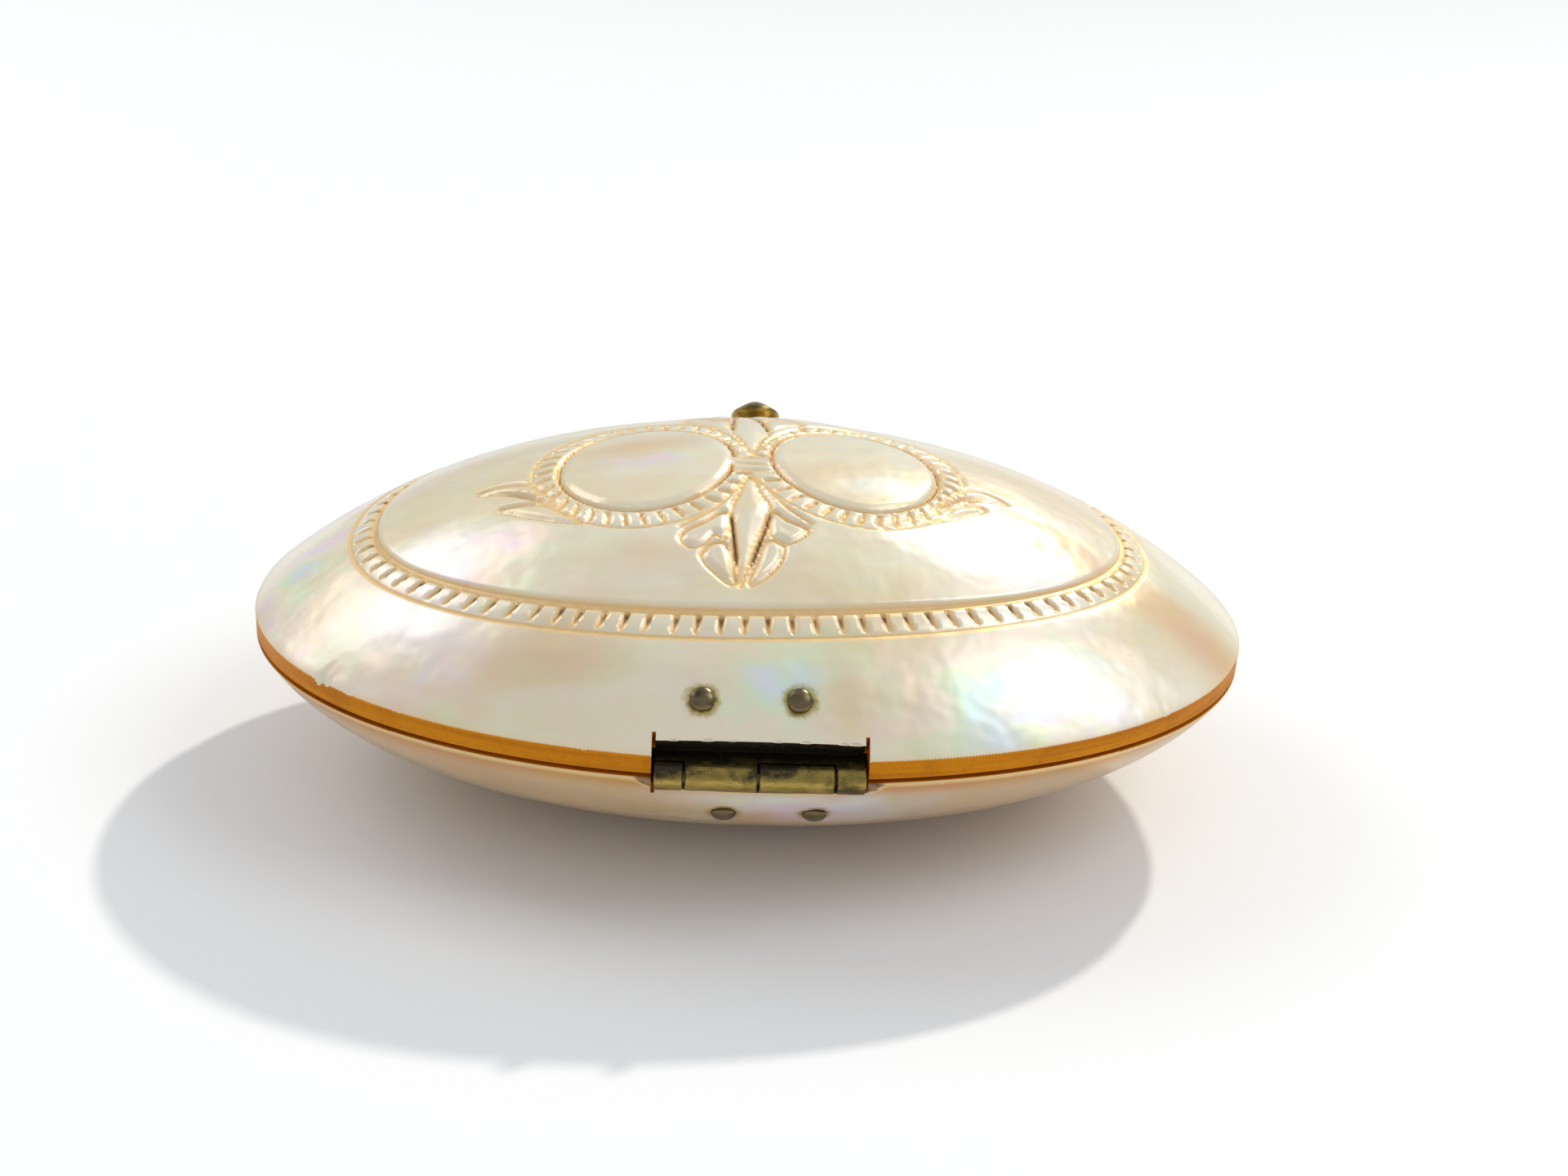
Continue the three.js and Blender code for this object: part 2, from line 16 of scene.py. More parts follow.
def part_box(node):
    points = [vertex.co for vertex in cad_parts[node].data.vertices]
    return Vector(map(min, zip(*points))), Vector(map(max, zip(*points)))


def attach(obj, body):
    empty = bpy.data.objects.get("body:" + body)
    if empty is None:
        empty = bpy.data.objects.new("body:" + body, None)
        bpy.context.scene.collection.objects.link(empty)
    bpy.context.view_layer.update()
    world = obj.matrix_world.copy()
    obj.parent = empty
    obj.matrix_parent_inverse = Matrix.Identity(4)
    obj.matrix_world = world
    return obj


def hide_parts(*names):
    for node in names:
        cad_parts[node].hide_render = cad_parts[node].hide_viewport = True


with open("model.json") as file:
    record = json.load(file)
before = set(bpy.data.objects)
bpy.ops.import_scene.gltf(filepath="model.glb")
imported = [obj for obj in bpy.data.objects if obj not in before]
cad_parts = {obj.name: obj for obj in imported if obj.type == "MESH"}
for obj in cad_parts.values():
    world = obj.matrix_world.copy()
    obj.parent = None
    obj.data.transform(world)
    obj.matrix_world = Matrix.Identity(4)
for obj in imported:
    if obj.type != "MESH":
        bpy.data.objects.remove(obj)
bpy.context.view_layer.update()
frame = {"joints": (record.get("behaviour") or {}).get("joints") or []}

MM = 0.001

# ---- sizes read from the frame, in millimetres ----


def box_mm(node):
    low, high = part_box(node)
    return np.array(low) / MM, np.array(high) / MM


lid_low, lid_high = box_mm("lid_shell")
_, base_high = box_mm("base_shell")
HALF_LENGTH = float(lid_high[0])
HALF_WIDTH = float(lid_high[1])
CROWN_Z = float(lid_high[2])
LID_BOTTOM_Z = float(lid_low[2])
BASE_TOP_Z = float(base_high[2])
SEAM = (LID_BOTTOM_Z + BASE_TOP_Z) / 2
HINGE = next(joint for joint in frame["joints"] if joint["name"] == "lid_hinge")
HINGE_Y = HINGE["pos_m"][1] / MM
HINGE_Z = HINGE["pos_m"][2] / MM

# ---- driving dimensions that the two shells and their fittings share ----

OVAL_POWER = 2.14
WALL = 2.0
LID_EDGE = 1.4  # height of the lid's upright cut edge
LID_EDGE_Z = SEAM + LID_EDGE
LID_ROUNDNESS = 1.331
BASE_ROUNDNESS = 1.023
BASE_DEPTH = SEAM + 0.35  # to the lowest point of the full bowl, below the flat foot

LEAF = 0.45
KNUCKLE_RADIUS = 0.85
PIN_BORE_RADIUS = 0.48
KNUCKLE_ENDS = (-6.65, -4.8, -0.25, 4.5, 6.4)  # alternately base, lid, base, lid
NOTCH = (KNUCKLE_ENDS[0] - 0.15, KNUCKLE_ENDS[4] + 0.15)
NOTCH_REACH = 1.91  # from the hinge's axis up the lid's slope
NICK_WIDTH = 0.24  # of the saw's overrun at both ends of the notch
NICK_REACH = 2.46
LEAF_POCKET_END = 6.5
CATCH_X = 0.5


def dome(radius, roundness):
    """Height of a dome of unit height over a unit radius."""
    foot = math.sqrt(roundness**2 - 1)
    return (np.sqrt(np.maximum(roundness**2 - radius**2, 1e-9)) - foot) / (roundness - foot)


def oval_radius(x, y, half_length=HALF_LENGTH, half_width=HALF_WIDTH):
    return (np.abs(x / half_length) ** OVAL_POWER + np.abs(y / half_width) ** OVAL_POWER) ** (1 / OVAL_POWER)


def lid_top(x, y):
    return LID_EDGE_Z + (CROWN_Z - LID_EDGE_Z) * dome(oval_radius(x, y), LID_ROUNDNESS)


def base_under(x, y):
    return SEAM - BASE_DEPTH * dome(oval_radius(x, y), BASE_ROUNDNESS)


# ---- small helpers for carving, all on arrays ----


def smooth(start, end, value):
    share = np.clip((value - start) / (end - start), 0, 1)
    return share * share * (3 - 2 * share)


def channel(distance, half_width, depth):
    """A rounded groove along the line where distance is 0."""
    return depth * (1 - smooth(0, half_width, np.abs(distance)))


def bump(distance, half_width):
    return 1 - smooth(0, half_width, np.abs(distance))


def within_ellipse(x, y, centre, radii, degrees):
    """Places as shares of a turned ellipse's two radii."""
    angle = math.radians(degrees)
    dx = x - centre[0]
    dy = y - centre[1]
    u = (dx * math.cos(angle) + dy * math.sin(angle)) / radii[0]
    v = (dy * math.cos(angle) - dx * math.sin(angle)) / radii[1]
    return u, v


def ellipse_distance(x, y, centre, radii, degrees=0.0, power=2.0):
    """Distance outside an ellipse's edge, negative inside."""
    u, v = within_ellipse(x, y, centre, radii, degrees)
    share = (np.abs(u) ** power + np.abs(v) ** power) ** (1 / power) + 1e-9
    steep = np.hypot(np.abs(u / share) ** (power - 1) / radii[0], np.abs(v / share) ** (power - 1) / radii[1])
    return (share - 1) / np.maximum(steep, 1e-3)


def rounded_path(points, closed=False, steps=6):
    """A Catmull-Rom curve through the points."""
    points = np.array(points, float)
    if closed:
        padded = np.vstack([points[-1], points, points[:2]])
    else:
        padded = np.vstack([2 * points[0] - points[1], points, 2 * points[-1] - points[-2]])
    pieces = []
    for i in range(len(padded) - 3):
        before, start, end, after = padded[i : i + 4]
        t = np.arange(steps)[:, None] / steps
        pieces.append(
            0.5
            * (
                2 * start
                + (end - before) * t
                + (2 * before - 5 * start + 4 * end - after) * t**2
                + (3 * start - before - 3 * end + after) * t**3
            )
        )
    if not closed:
        pieces.append(points[-1:])
    return np.vstack(pieces)


def path_distance(x, y, path, closed=False):
    """Distance to a path, and how far along it the nearest point lies, from 0 to 1."""
    ends = np.vstack([path[1:], path[:1]]) if closed else path[1:]
    starts = path if closed else path[:-1]
    nearest = np.full(x.shape, 1e9)
    along = np.zeros(x.shape)
    for i, (start, end) in enumerate(zip(starts, ends)):
        step = end - start
        share = np.clip(((x - start[0]) * step[0] + (y - start[1]) * step[1]) / (step @ step + 1e-12), 0, 1)
        distance = np.hypot(x - start[0] - share * step[0], y - start[1] - share * step[1])
        closer = distance < nearest
        nearest = np.where(closer, distance, nearest)
        along = np.where(closer, (i + share) / len(starts), along)
    return nearest, along


def inside_path(x, y, path):
    inside = np.zeros(x.shape, bool)
    for (x0, y0), (x1, y1) in zip(path, np.roll(path, -1, axis=0)):
        if y0 == y1:
            continue
        crosses = ((y0 > y) != (y1 > y)) & (x < (x1 - x0) * (y - y0) / (y1 - y0) + x0)
        inside ^= crosses
    return inside


# ---- the carving on the lid: each part returns its depth and its dirt ----

PATTERN_TURN = 1.87  # degrees that the whole pattern is turned on the lid
RING_CENTRE = (-0.28, -0.455)
RING_RADII = (28.21, 18.41)  # of its outer edge
RING_WIDTH = 2.15
RING_NOTCHES = 94
MEDALLIONS = (((-7.9, -2.2), (5.8, 6.25)), ((6.55, -1.85), (5.6, 6.15)))
COLLAR = 1.95  # its outer edge, from the medallion's edge
COLLAR_NOTCHES = 36
MIRROR_Y = -3.4  # the pattern's far half mirrors its near half in this line
FAR_STRETCH = 1.25
FAR_RISE = 0.26  # the lid swells a little under the far palmette

rng = np.random.default_rng(11)
ring_dirt = rng.random(RING_NOTCHES) ** 2
ring_jitter = rng.normal(0, 0.05, RING_NOTCHES)
collar_dirt = rng.random((2, COLLAR_NOTCHES)) ** 2


def ring_arc_table():
    """The share of the ring's length up to each angle, so that its notches are evenly spaced."""
    angle = np.linspace(0, 2 * math.pi, 2001)
    middle = np.array(RING_RADII) - RING_WIDTH / 2
    c = np.cos(angle)
    s = np.sin(angle)
    radius = (np.abs(c) ** OVAL_POWER + np.abs(s) ** OVAL_POWER) ** (-1 / OVAL_POWER)
    x = middle[0] * radius * c
    y = middle[1] * radius * s
    length = np.concatenate([[0], np.cumsum(np.hypot(np.diff(x), np.diff(y)))])
    return angle, length / length[-1]


RING_ANGLES, RING_SHARES = ring_arc_table()


def ring_border(x, y):
    inward = -ellipse_distance(x, y, RING_CENTRE, RING_RADII, PATTERN_TURN, OVAL_POWER)
    u, v = within_ellipse(x, y, RING_CENTRE, RING_RADII, PATTERN_TURN)
    share = np.interp(np.arctan2(v, u) % (2 * math.pi), RING_ANGLES, RING_SHARES)
    place = share * RING_NOTCHES
    index = np.floor(place).astype(int) % RING_NOTCHES
    offset = np.abs(place - np.floor(place) - 0.5 + ring_jitter[index])
    notch = 1 - smooth(0.05, 0.21, offset)
    band = smooth(0.36, 0.56, inward) * (1 - smooth(1.5, 1.7, inward))
    lean = 0.6 + 0.4 * smooth(0.5, 1.4, inward)
    outer_line = channel(inward - 0.2, 0.24, 0.13)
    cove = 0.27 * smooth(1.42, 1.72, inward) * (1 - smooth(1.98, 2.17, inward))
    crown = 0.07 * (1 - band) * smooth(0.0, 0.3, inward) * (1 - smooth(1.9, 2.1, inward))
    pillow = band * 0.07 * np.abs((inward - 0.95) / 0.6) ** 2
    depth = np.maximum.reduce([outer_line, cove, crown + pillow, 0.3 * notch * band * lean])
    spots = ring_dirt[index] * bump(inward - 1.5, 0.32) * (1 - smooth(0.05, 0.25, offset))
    cove_dirt = 0.5 * smooth(1.4, 1.6, inward) * (1 - smooth(2.06, 2.2, inward))
    dirt = np.maximum.reduce([0.5 * smooth(0.02, 0.08, outer_line), cove_dirt, 0.8 * notch * band * lean])
    return depth, dirt + 0.5 * spots


def medallions(x, y):
    """Two polished cushions, each with a groove and a collar of gadroons round it."""
    away = [ellipse_distance(x, y, centre, radii) for centre, radii in MEDALLIONS]
    nearest = np.argmin(away, axis=0)
    distance = np.minimum(*away)
    place = np.zeros(x.shape)
    for side, (centre, radii) in enumerate(MEDALLIONS):
        angle = np.arctan2((y - centre[1]) / radii[1], (x - centre[0]) / radii[0])
        lean = 0.05 * (away[side] - 1.2) * (1 if side else -1)
        place = np.where(nearest == side, (angle + lean) / (2 * math.pi) * COLLAR_NOTCHES + 0.5, place)
    index = np.floor(place).astype(int) % COLLAR_NOTCHES
    offset = np.abs(place - np.floor(place) - 0.5)
    notch = 1 - smooth(0.06, 0.3, offset)
    band = smooth(0.5, 0.75, distance) * (1 - smooth(COLLAR - 0.3, COLLAR, distance))
    cushion = 0.14 * (1 - smooth(0, 0.5, -distance)) * (distance < 0.02)
    groove = channel(distance - 0.24, 0.36, 0.46)
    roll = 0.1 * np.abs((distance - 1.25) / 0.7) ** 2 * (distance > 0.3) * (distance < COLLAR)
    outer_line = channel(distance - COLLAR - 0.08, 0.26, 0.15)
    depth = np.maximum.reduce([cushion, groove, roll, 0.25 * notch * band, outer_line])
    spots = collar_dirt[nearest, index] * bump(distance - 0.6, 0.3) * (1 - smooth(0.05, 0.25, offset))
    dirt = np.maximum.reduce([0.7 * smooth(0.05, 0.4, groove), 0.5 * notch * band, 0.45 * outer_line / 0.15])
    return depth, dirt + 0.4 * spots


SPEAR = rounded_path(
    [
        (-0.9, -5.2), (-1.55, -7.3), (-2.02, -9.0), (-1.72, -12.0), (-1.55, -15.3), (-0.68, -12.0),
        (0.42, -8.9), (-0.15, -7.2),
    ],
    closed=True,
)
SPEAR_GROOVES = (
    rounded_path([(-2.1, -8.9), (-2.05, -10.5), (-1.92, -12.1), (-1.72, -14.9)]),
    rounded_path([(0.5, -8.7), (0.15, -10.4), (-0.36, -12.1), (-1.2, -14.9)]),
)
LOBES = [
    rounded_path(points, closed=True)
    for points in (
        (
            (-2.5, -9.3), (-3.9, -10.2), (-5.1, -11.0), (-5.35, -11.7), (-4.6, -12.35), (-3.8, -11.9),
            (-3.2, -11.2), (-2.5, -11.6),
        ),
        (
            (-2.55, -12.2), (-3.3, -12.1), (-3.95, -12.8), (-3.85, -13.5), (-3.0, -14.5),
            (-2.0, -15.2), (-2.15, -13.6),
        ),
        (
            (0.75, -9.2), (1.5, -9.9), (2.5, -10.4), (2.85, -10.95), (1.7, -11.9), (1.2, -11.7),
            (0.55, -11.3), (0.45, -10.2),
        ),
        (
            (0.1, -12.0), (0.8, -11.95), (1.25, -12.4), (0.95, -13.6), (0.0, -14.7), (-0.95, -15.2),
            (-0.3, -13.4),
        ),
    )
]
WEDGE = np.array([
    (-0.85, -4.6), (-2.2, -7.2), (-3.6, -9.4), (-5.9, -10.9), (-4.6, -12.9), (-1.6, -16.2),
    (1.3, -13.0), (3.4, -10.7), (1.9, -9.1), (0.6, -7.0),
])
WEDGE_SIDES = (
    rounded_path([(-0.85, -4.6), (-2.0, -7.0), (-3.3, -9.0), (-5.5, -10.6)]),
    rounded_path([(-0.85, -4.6), (0.4, -6.9), (1.6, -8.7), (3.2, -10.2)]),
)


def leaf(x, y, outline, edge_depth=0.24, roof=False):
    """Depth inside a leaf, and of the outline cut round it."""
    distance, _ = path_distance(x, y, outline, closed=True)
    inside = inside_path(x, y, outline)
    if roof:
        top = edge_depth * (1 - np.clip(distance / 0.95, 0, 1))
    else:
        top = edge_depth * (1 - smooth(0, 0.42, distance)) + 0.07 * smooth(0.45, 1.0, distance)
    return inside, top, channel(distance, 0.42, edge_depth + 0.06)


def palmette(x, y):
    inside_any = np.zeros(x.shape, bool)
    inner = np.zeros(x.shape)
    outer = np.zeros(x.shape)
    for outline, roof in [(SPEAR, True)] + [(lobe, False) for lobe in LOBES]:
        inside, top, cut = leaf(x, y, outline, roof=roof)
        inner = np.where(inside, top, inner)
        inside_any |= inside
        outer = np.maximum(outer, cut)
    depth = np.where(inside_any, inner, outer)
    dirt = np.where(inside_any, 0.4 * smooth(0.14, 0.26, inner), 0.55 * smooth(0.03, 0.25, outer))
    for path in SPEAR_GROOVES:
        distance, along = path_distance(x, y, path)
        fade = smooth(0, 0.15, along) * (1 - smooth(0.8, 1, along))
        depth = np.maximum(depth, channel(distance, 0.36, 0.52) * fade)
        dirt = np.maximum(dirt, 0.95 * bump(distance, 0.34) * fade)
    for path in WEDGE_SIDES:
        distance, _ = path_distance(x, y, path)
        depth = np.maximum(depth, channel(distance, 0.3, 0.2) * ~inside_any)
        dirt = np.maximum(dirt, 0.5 * bump(distance, 0.3) * ~inside_any)
    field = inside_path(x, y, WEDGE)
    return depth, dirt, field


SPRAYS = [
    rounded_path(points, closed=True)
    for points in (
        (
            (-19.3, -3.2), (-17.5, -3.0), (-16.0, -3.6), (-14.9, -5.0), (-13.9, -6.9), (-15.4, -5.7),
            (-17.3, -4.3),
        ),
        (
            (-17.5, -6.4), (-16.0, -6.3), (-14.6, -6.9), (-13.4, -8.0), (-11.9, -9.35), (-14.4, -8.45),
        ),
        (
            (17.1, -3.3), (15.4, -2.6), (13.9, -3.3), (12.9, -4.8), (11.6, -6.9), (13.2, -5.6),
            (15.0, -4.0),
        ),
        (
            (15.2, -5.3), (13.9, -5.4), (12.6, -6.3), (11.2, -7.6), (7.9, -9.85), (12.2, -7.7),
        ),
    )
]
SPRAY_GROOVES = (
    rounded_path([(-18.3, -3.7), (-16.9, -4.4), (-15.5, -5.5), (-13.4, -7.5)]),
    rounded_path([(16.0, -3.3), (14.4, -4.0), (12.85, -5.3), (10.8, -7.5)]),
)


def sprays(x, y):
    depth = np.zeros(x.shape)
    dirt = np.zeros(x.shape)
    for outline in SPRAYS:
        inside, top, cut = leaf(x, y, outline, edge_depth=0.16)
        depth = np.where(inside, top, np.maximum(depth, cut))
        dirt = np.where(inside, 0.1, np.maximum(dirt, 0.45 * cut / 0.22))
    for path in SPRAY_GROOVES:
        distance, along = path_distance(x, y, path)
        fade = np.sin(math.pi * np.clip(along, 0, 1)) ** 0.6
        depth = np.maximum(depth, channel(distance, 0.4, 0.42) * fade)
        dirt = np.maximum(dirt, 0.8 * bump(distance, 0.32) * fade)
    return depth, dirt


def carving(x, y):
    """Depth of the carving below the dome, in millimetres, and how much dirt lies in it, from 0 to 1."""
    depth, dirt = medallions(x, y)
    far = y > MIRROR_Y
    near_y = np.where(far, 2 * MIRROR_Y - (MIRROR_Y + (y - MIRROR_Y) / FAR_STRETCH), y)
    near_x = np.where(far, x - 0.25, x)
    leaf_depth, leaf_dirt, field = palmette(near_x, near_y)
    leaf_depth = leaf_depth * (1 - 0.6 * smooth(2.0, 7.0, y))
    depth = np.where(field, leaf_depth, np.maximum(depth, leaf_depth))
    dirt = np.where(field, leaf_dirt, np.maximum(dirt, leaf_dirt))
    between = bump(x + 0.75, 1.5) ** 0.2 * (np.abs(y - MIRROR_Y) < 1.15) * (np.abs(x + 0.75) < 1.25)
    bars = 0.24 * (0.5 - 0.5 * np.cos((y - MIRROR_Y) * 2 * math.pi / 0.88 + math.pi)) * between
    depth = np.where(between > 0.05, np.maximum(bars, 0.04), depth)
    dirt = np.where(between > 0.05, bars * 1.3, dirt)
    for more_depth, more_dirt in (sprays(x, y), ring_border(x, y)):
        depth = np.maximum(depth, more_depth)
        dirt = np.maximum(dirt, more_dirt)
    depth = depth - FAR_RISE * (1 - smooth(0.2, 1, np.hypot((x - 0.4) / 8, (y - 8.5) / 6)))
    return depth, np.clip(dirt, 0, 1)


# ---- meshes ----


def make_object(name, points_mm, faces):
    mesh = bpy.data.meshes.new(name)
    mesh.from_pydata((np.asarray(points_mm, float) * MM).tolist(), [], faces)
    mesh.validate()
    mesh.update()
    made = bpy.data.objects.new(name, mesh)
    bpy.context.scene.collection.objects.link(made)
    return made


def remove(made):
    mesh = made.data
    bpy.data.objects.remove(made)
    bpy.data.meshes.remove(mesh)


def apply_modifiers(made):
    bpy.context.view_layer.update()
    graph = bpy.context.evaluated_depsgraph_get()
    fresh = bpy.data.meshes.new_from_object(made.evaluated_get(graph))
    old = made.data
    made.modifiers.clear()
    made.data = fresh
    fresh.name = made.name
    bpy.data.meshes.remove(old)


def boolean(made, operation, *tools):
    for tool in tools:
        step = made.modifiers.new("boolean", "BOOLEAN")
        step.operation = operation
        step.solver = "MANIFOLD"
        step.object = tool
        apply_modifiers(made)
        remove(tool)
    return made


def cut(made, *tools):
    """Takes all the tools away in one go, which leaves the fewest stray faces."""
    return boolean(made, "DIFFERENCE", boolean(tools[0], "UNION", *tools[1:]))


def join(made, *tools):
    return boolean(made, "UNION", *tools)


def smooth_shading(made, degrees=32):
    """Large faces count for more, so that hair-thin faces from cutting don't show."""
    made.data.shade_smooth()
    made.data.set_sharp_from_angle(angle=math.radians(degrees))
    step = made.modifiers.new("normals", "WEIGHTED_NORMAL")
    step.mode = "FACE_AREA"
    step.keep_sharp = True
    apply_modifiers(made)


class Slope:
    """A plane that leans in the YZ plane: along runs up it, above stands off it."""

    def __init__(self, y, z, degrees):
        self.y = y
        self.z = z
        self.angle = math.radians(degrees)

    def point(self, x, along, above):
        c = math.cos(self.angle)
        s = math.sin(self.angle)
        return (x, self.y + along * c - above * s, self.z + along * s + above * c)

    def matrix(self, x=0.0):
        return Matrix.Translation((x, self.y, self.z)) @ Matrix.Rotation(self.angle, 4, "X")


LEVEL = Slope(0, 0, 0)


def placed(made, matrix):
    """Moves a mesh whose place was given in millimetres."""
    scaled = matrix.copy()
    scaled.translation = scaled.translation * MM
    made.data.transform(scaled)
    return made


def block(place, low, high, bevel=0.0):
    """A box between two corners in a slope's frame, with its edges rounded by bevel."""
    corners = [(x, y, z) for x in (low[0], high[0]) for y in (low[1], high[1]) for z in (low[2], high[2])]
    faces = [(0, 1, 3, 2), (4, 6, 7, 5), (0, 4, 5, 1), (2, 3, 7, 6), (0, 2, 6, 4), (1, 5, 7, 3)]
    made = make_object("block", corners, faces)
    if bevel:
        soften(made, bevel)
    return placed(made, place.matrix())


def soften(made, width, segments=2, degrees=30):
    step = made.modifiers.new("bevel", "BEVEL")
    step.width = width * MM
    step.segments = segments
    step.limit_method = "ANGLE"
    step.angle_limit = math.radians(degrees)
    apply_modifiers(made)
    return made


def turned(outline, segments, matrix, wobble=0.0):
    """A turned piece from its (radius, height) outline, closed on itself or ending on the axis."""
    angles = np.linspace(0, 2 * math.pi, segments, endpoint=False)
    points = []
    rings = []
    for radius, height in outline:
        if radius < 1e-6:
            rings.append([len(points)])
            points.append((0, 0, height))
            continue
        rings.append(list(range(len(points), len(points) + segments)))
        for angle in angles:
            reach = radius * (1 + wobble * math.sin(3 * angle + height) * math.sin(2 * angle + 1))
            points.append((reach * math.cos(angle), reach * math.sin(angle), height))
    if len(rings[0]) > 1 and outline[0] == outline[-1]:
        del points[rings[-1][0] :]
        rings[-1] = rings[0]
    faces = []
    for lower, upper in zip(rings, rings[1:]):
        for i in range(segments):
            k = (i + 1) % segments
            if len(lower) == 1 and len(upper) == 1:
                continue
            if len(lower) == 1:
                faces.append((lower[0], upper[k], upper[i]))
            elif len(upper) == 1:
                faces.append((lower[i], lower[k], upper[0]))
            else:
                faces.append((lower[i], lower[k], upper[k], upper[i]))
    made = make_object("turned", points, faces)
    outward(made)
    return placed(made, matrix)


def outward(made):
    """Turns all faces outward and splits them into triangles, as the booleans need."""
    shape = bmesh.new()
    shape.from_mesh(made.data)
    bmesh.ops.recalc_face_normals(shape, faces=shape.faces)
    if shape.calc_volume(signed=True) < 0:
        bmesh.ops.reverse_faces(shape, faces=shape.faces)
    bmesh.ops.triangulate(shape, faces=shape.faces)
    shape.to_mesh(made.data)
    shape.free()


ALONG_X = Matrix.Rotation(math.radians(90), 4, "Y")


def bar_along_x(radius, x0, x1, bevel=0.0):
    """A round bar along the hinge's axis."""
    outline = [
        (0, x0), (radius - bevel, x0), (radius, x0 + bevel), (radius, x1 - bevel),
        (radius - bevel, x1), (0, x1),
    ]
    if not bevel:
        outline = [point for i, point in enumerate(outline) if i == 0 or point != outline[i - 1]]
    return turned(outline, 64, Matrix.Translation((0, HINGE_Y, HINGE_Z)) @ ALONG_X)


def hole(place, x, radius, low=-5.0, high=2.0, segments=32):
    outline = [(0, low), (radius, low), (radius, high), (0, high)]
    return turned(outline, segments, place.matrix(x))


# ---- the shells' blanks ----


def square_on_disc(cells):
    """A grid of cells by cells pressed onto the unit disc: its points, its faces, and its rim going round."""
    side = np.linspace(-1, 1, cells + 1)
    u, v = np.meshgrid(side, side)
    x = u * np.sqrt(1 - v * v / 2)
    y = v * np.sqrt(1 - u * u / 2)
    number = np.arange((cells + 1) ** 2).reshape(cells + 1, cells + 1)
    faces = np.stack([number[:-1, :-1], number[:-1, 1:], number[1:, 1:], number[1:, :-1]], -1).reshape(-1, 4)
    rim = np.concatenate([number[0, :-1], number[:-1, -1], number[-1, :0:-1], number[:0:-1, 0]])
    return x.ravel(), y.ravel(), faces, rim


def as_oval(x, y):
    """Unit disc to the unit oval, keeping each point's direction."""
    safe = np.maximum(np.hypot(x, y), 1e-9)
    crowding = np.maximum(np.abs(x / safe) ** OVAL_POWER + np.abs(y / safe) ** OVAL_POWER, 1e-3)
    share = crowding ** (-1 / OVAL_POWER)
    return x * share, y * share


def ring_faces(lower, upper):
    return np.stack([lower, np.roll(lower, -1), np.roll(upper, -1), upper], -1)


def stitch(fine, coarse):
    """Faces between a ring and one with fewer points."""
    ratio = len(fine) // len(coarse)
    faces = []
    for i, start in enumerate(coarse):
        end = coarse[(i + 1) % len(coarse)]
        run = [fine[(i * ratio + k) % len(fine)] for k in range(ratio + 1)]
        half = ratio // 2
        faces += [(start, run[k], run[k + 1]) for k in range(half)]
        faces.append((start, run[half], end))
        faces += [(end, run[k], run[k + 1]) for k in range(half, ratio)]
    return faces


class Shell:
    """Collects the points and faces of a closed shell made of grids and rings."""

    def __init__(self):
        self.points = []
        self.faces = []
        self.count = 0

    def add(self, x, y, z):
        numbers = np.arange(self.count, self.count + len(x))
        self.points.append(np.stack([x, y, z], -1))
        self.count += len(x)
        return numbers

    def skin(self, faces):
        self.faces += [tuple(int(i) for i in face) for face in faces]

    def make(self, name):
        made = make_object(name, np.vstack(self.points), self.faces)
        outward(made)
        return made


LID_CELLS = 248
INNER_CELLS = 62
BASE_CELLS = 124
CHIPS = (  # angle round the lid in degrees, half width in degrees, depth
    (217.5, 1.0, 0.42),
    (219.1, 0.6, 0.24),
    (223.0, 0.5, 0.14),
    (230.5, 0.4, 0.1),
    (252.0, 0.4, 0.1),
    (318.0, 0.5, 0.12),
    (97.0, 0.6, 0.14),
    (31.0, 0.5, 0.12),
)


def chipped(angle):
    """How far the lid's upper edge is chipped away at each angle, in degrees, of the outline."""
    lost = np.zeros(angle.shape)
    for centre, width, depth in CHIPS:
        lost = np.maximum(lost, depth * bump((angle - centre + 180) % 360 - 180, width))
    return lost + 0.012 * (np.sin(angle * 1.7) + np.sin(angle * 4.3 + 1)) ** 2 / 4


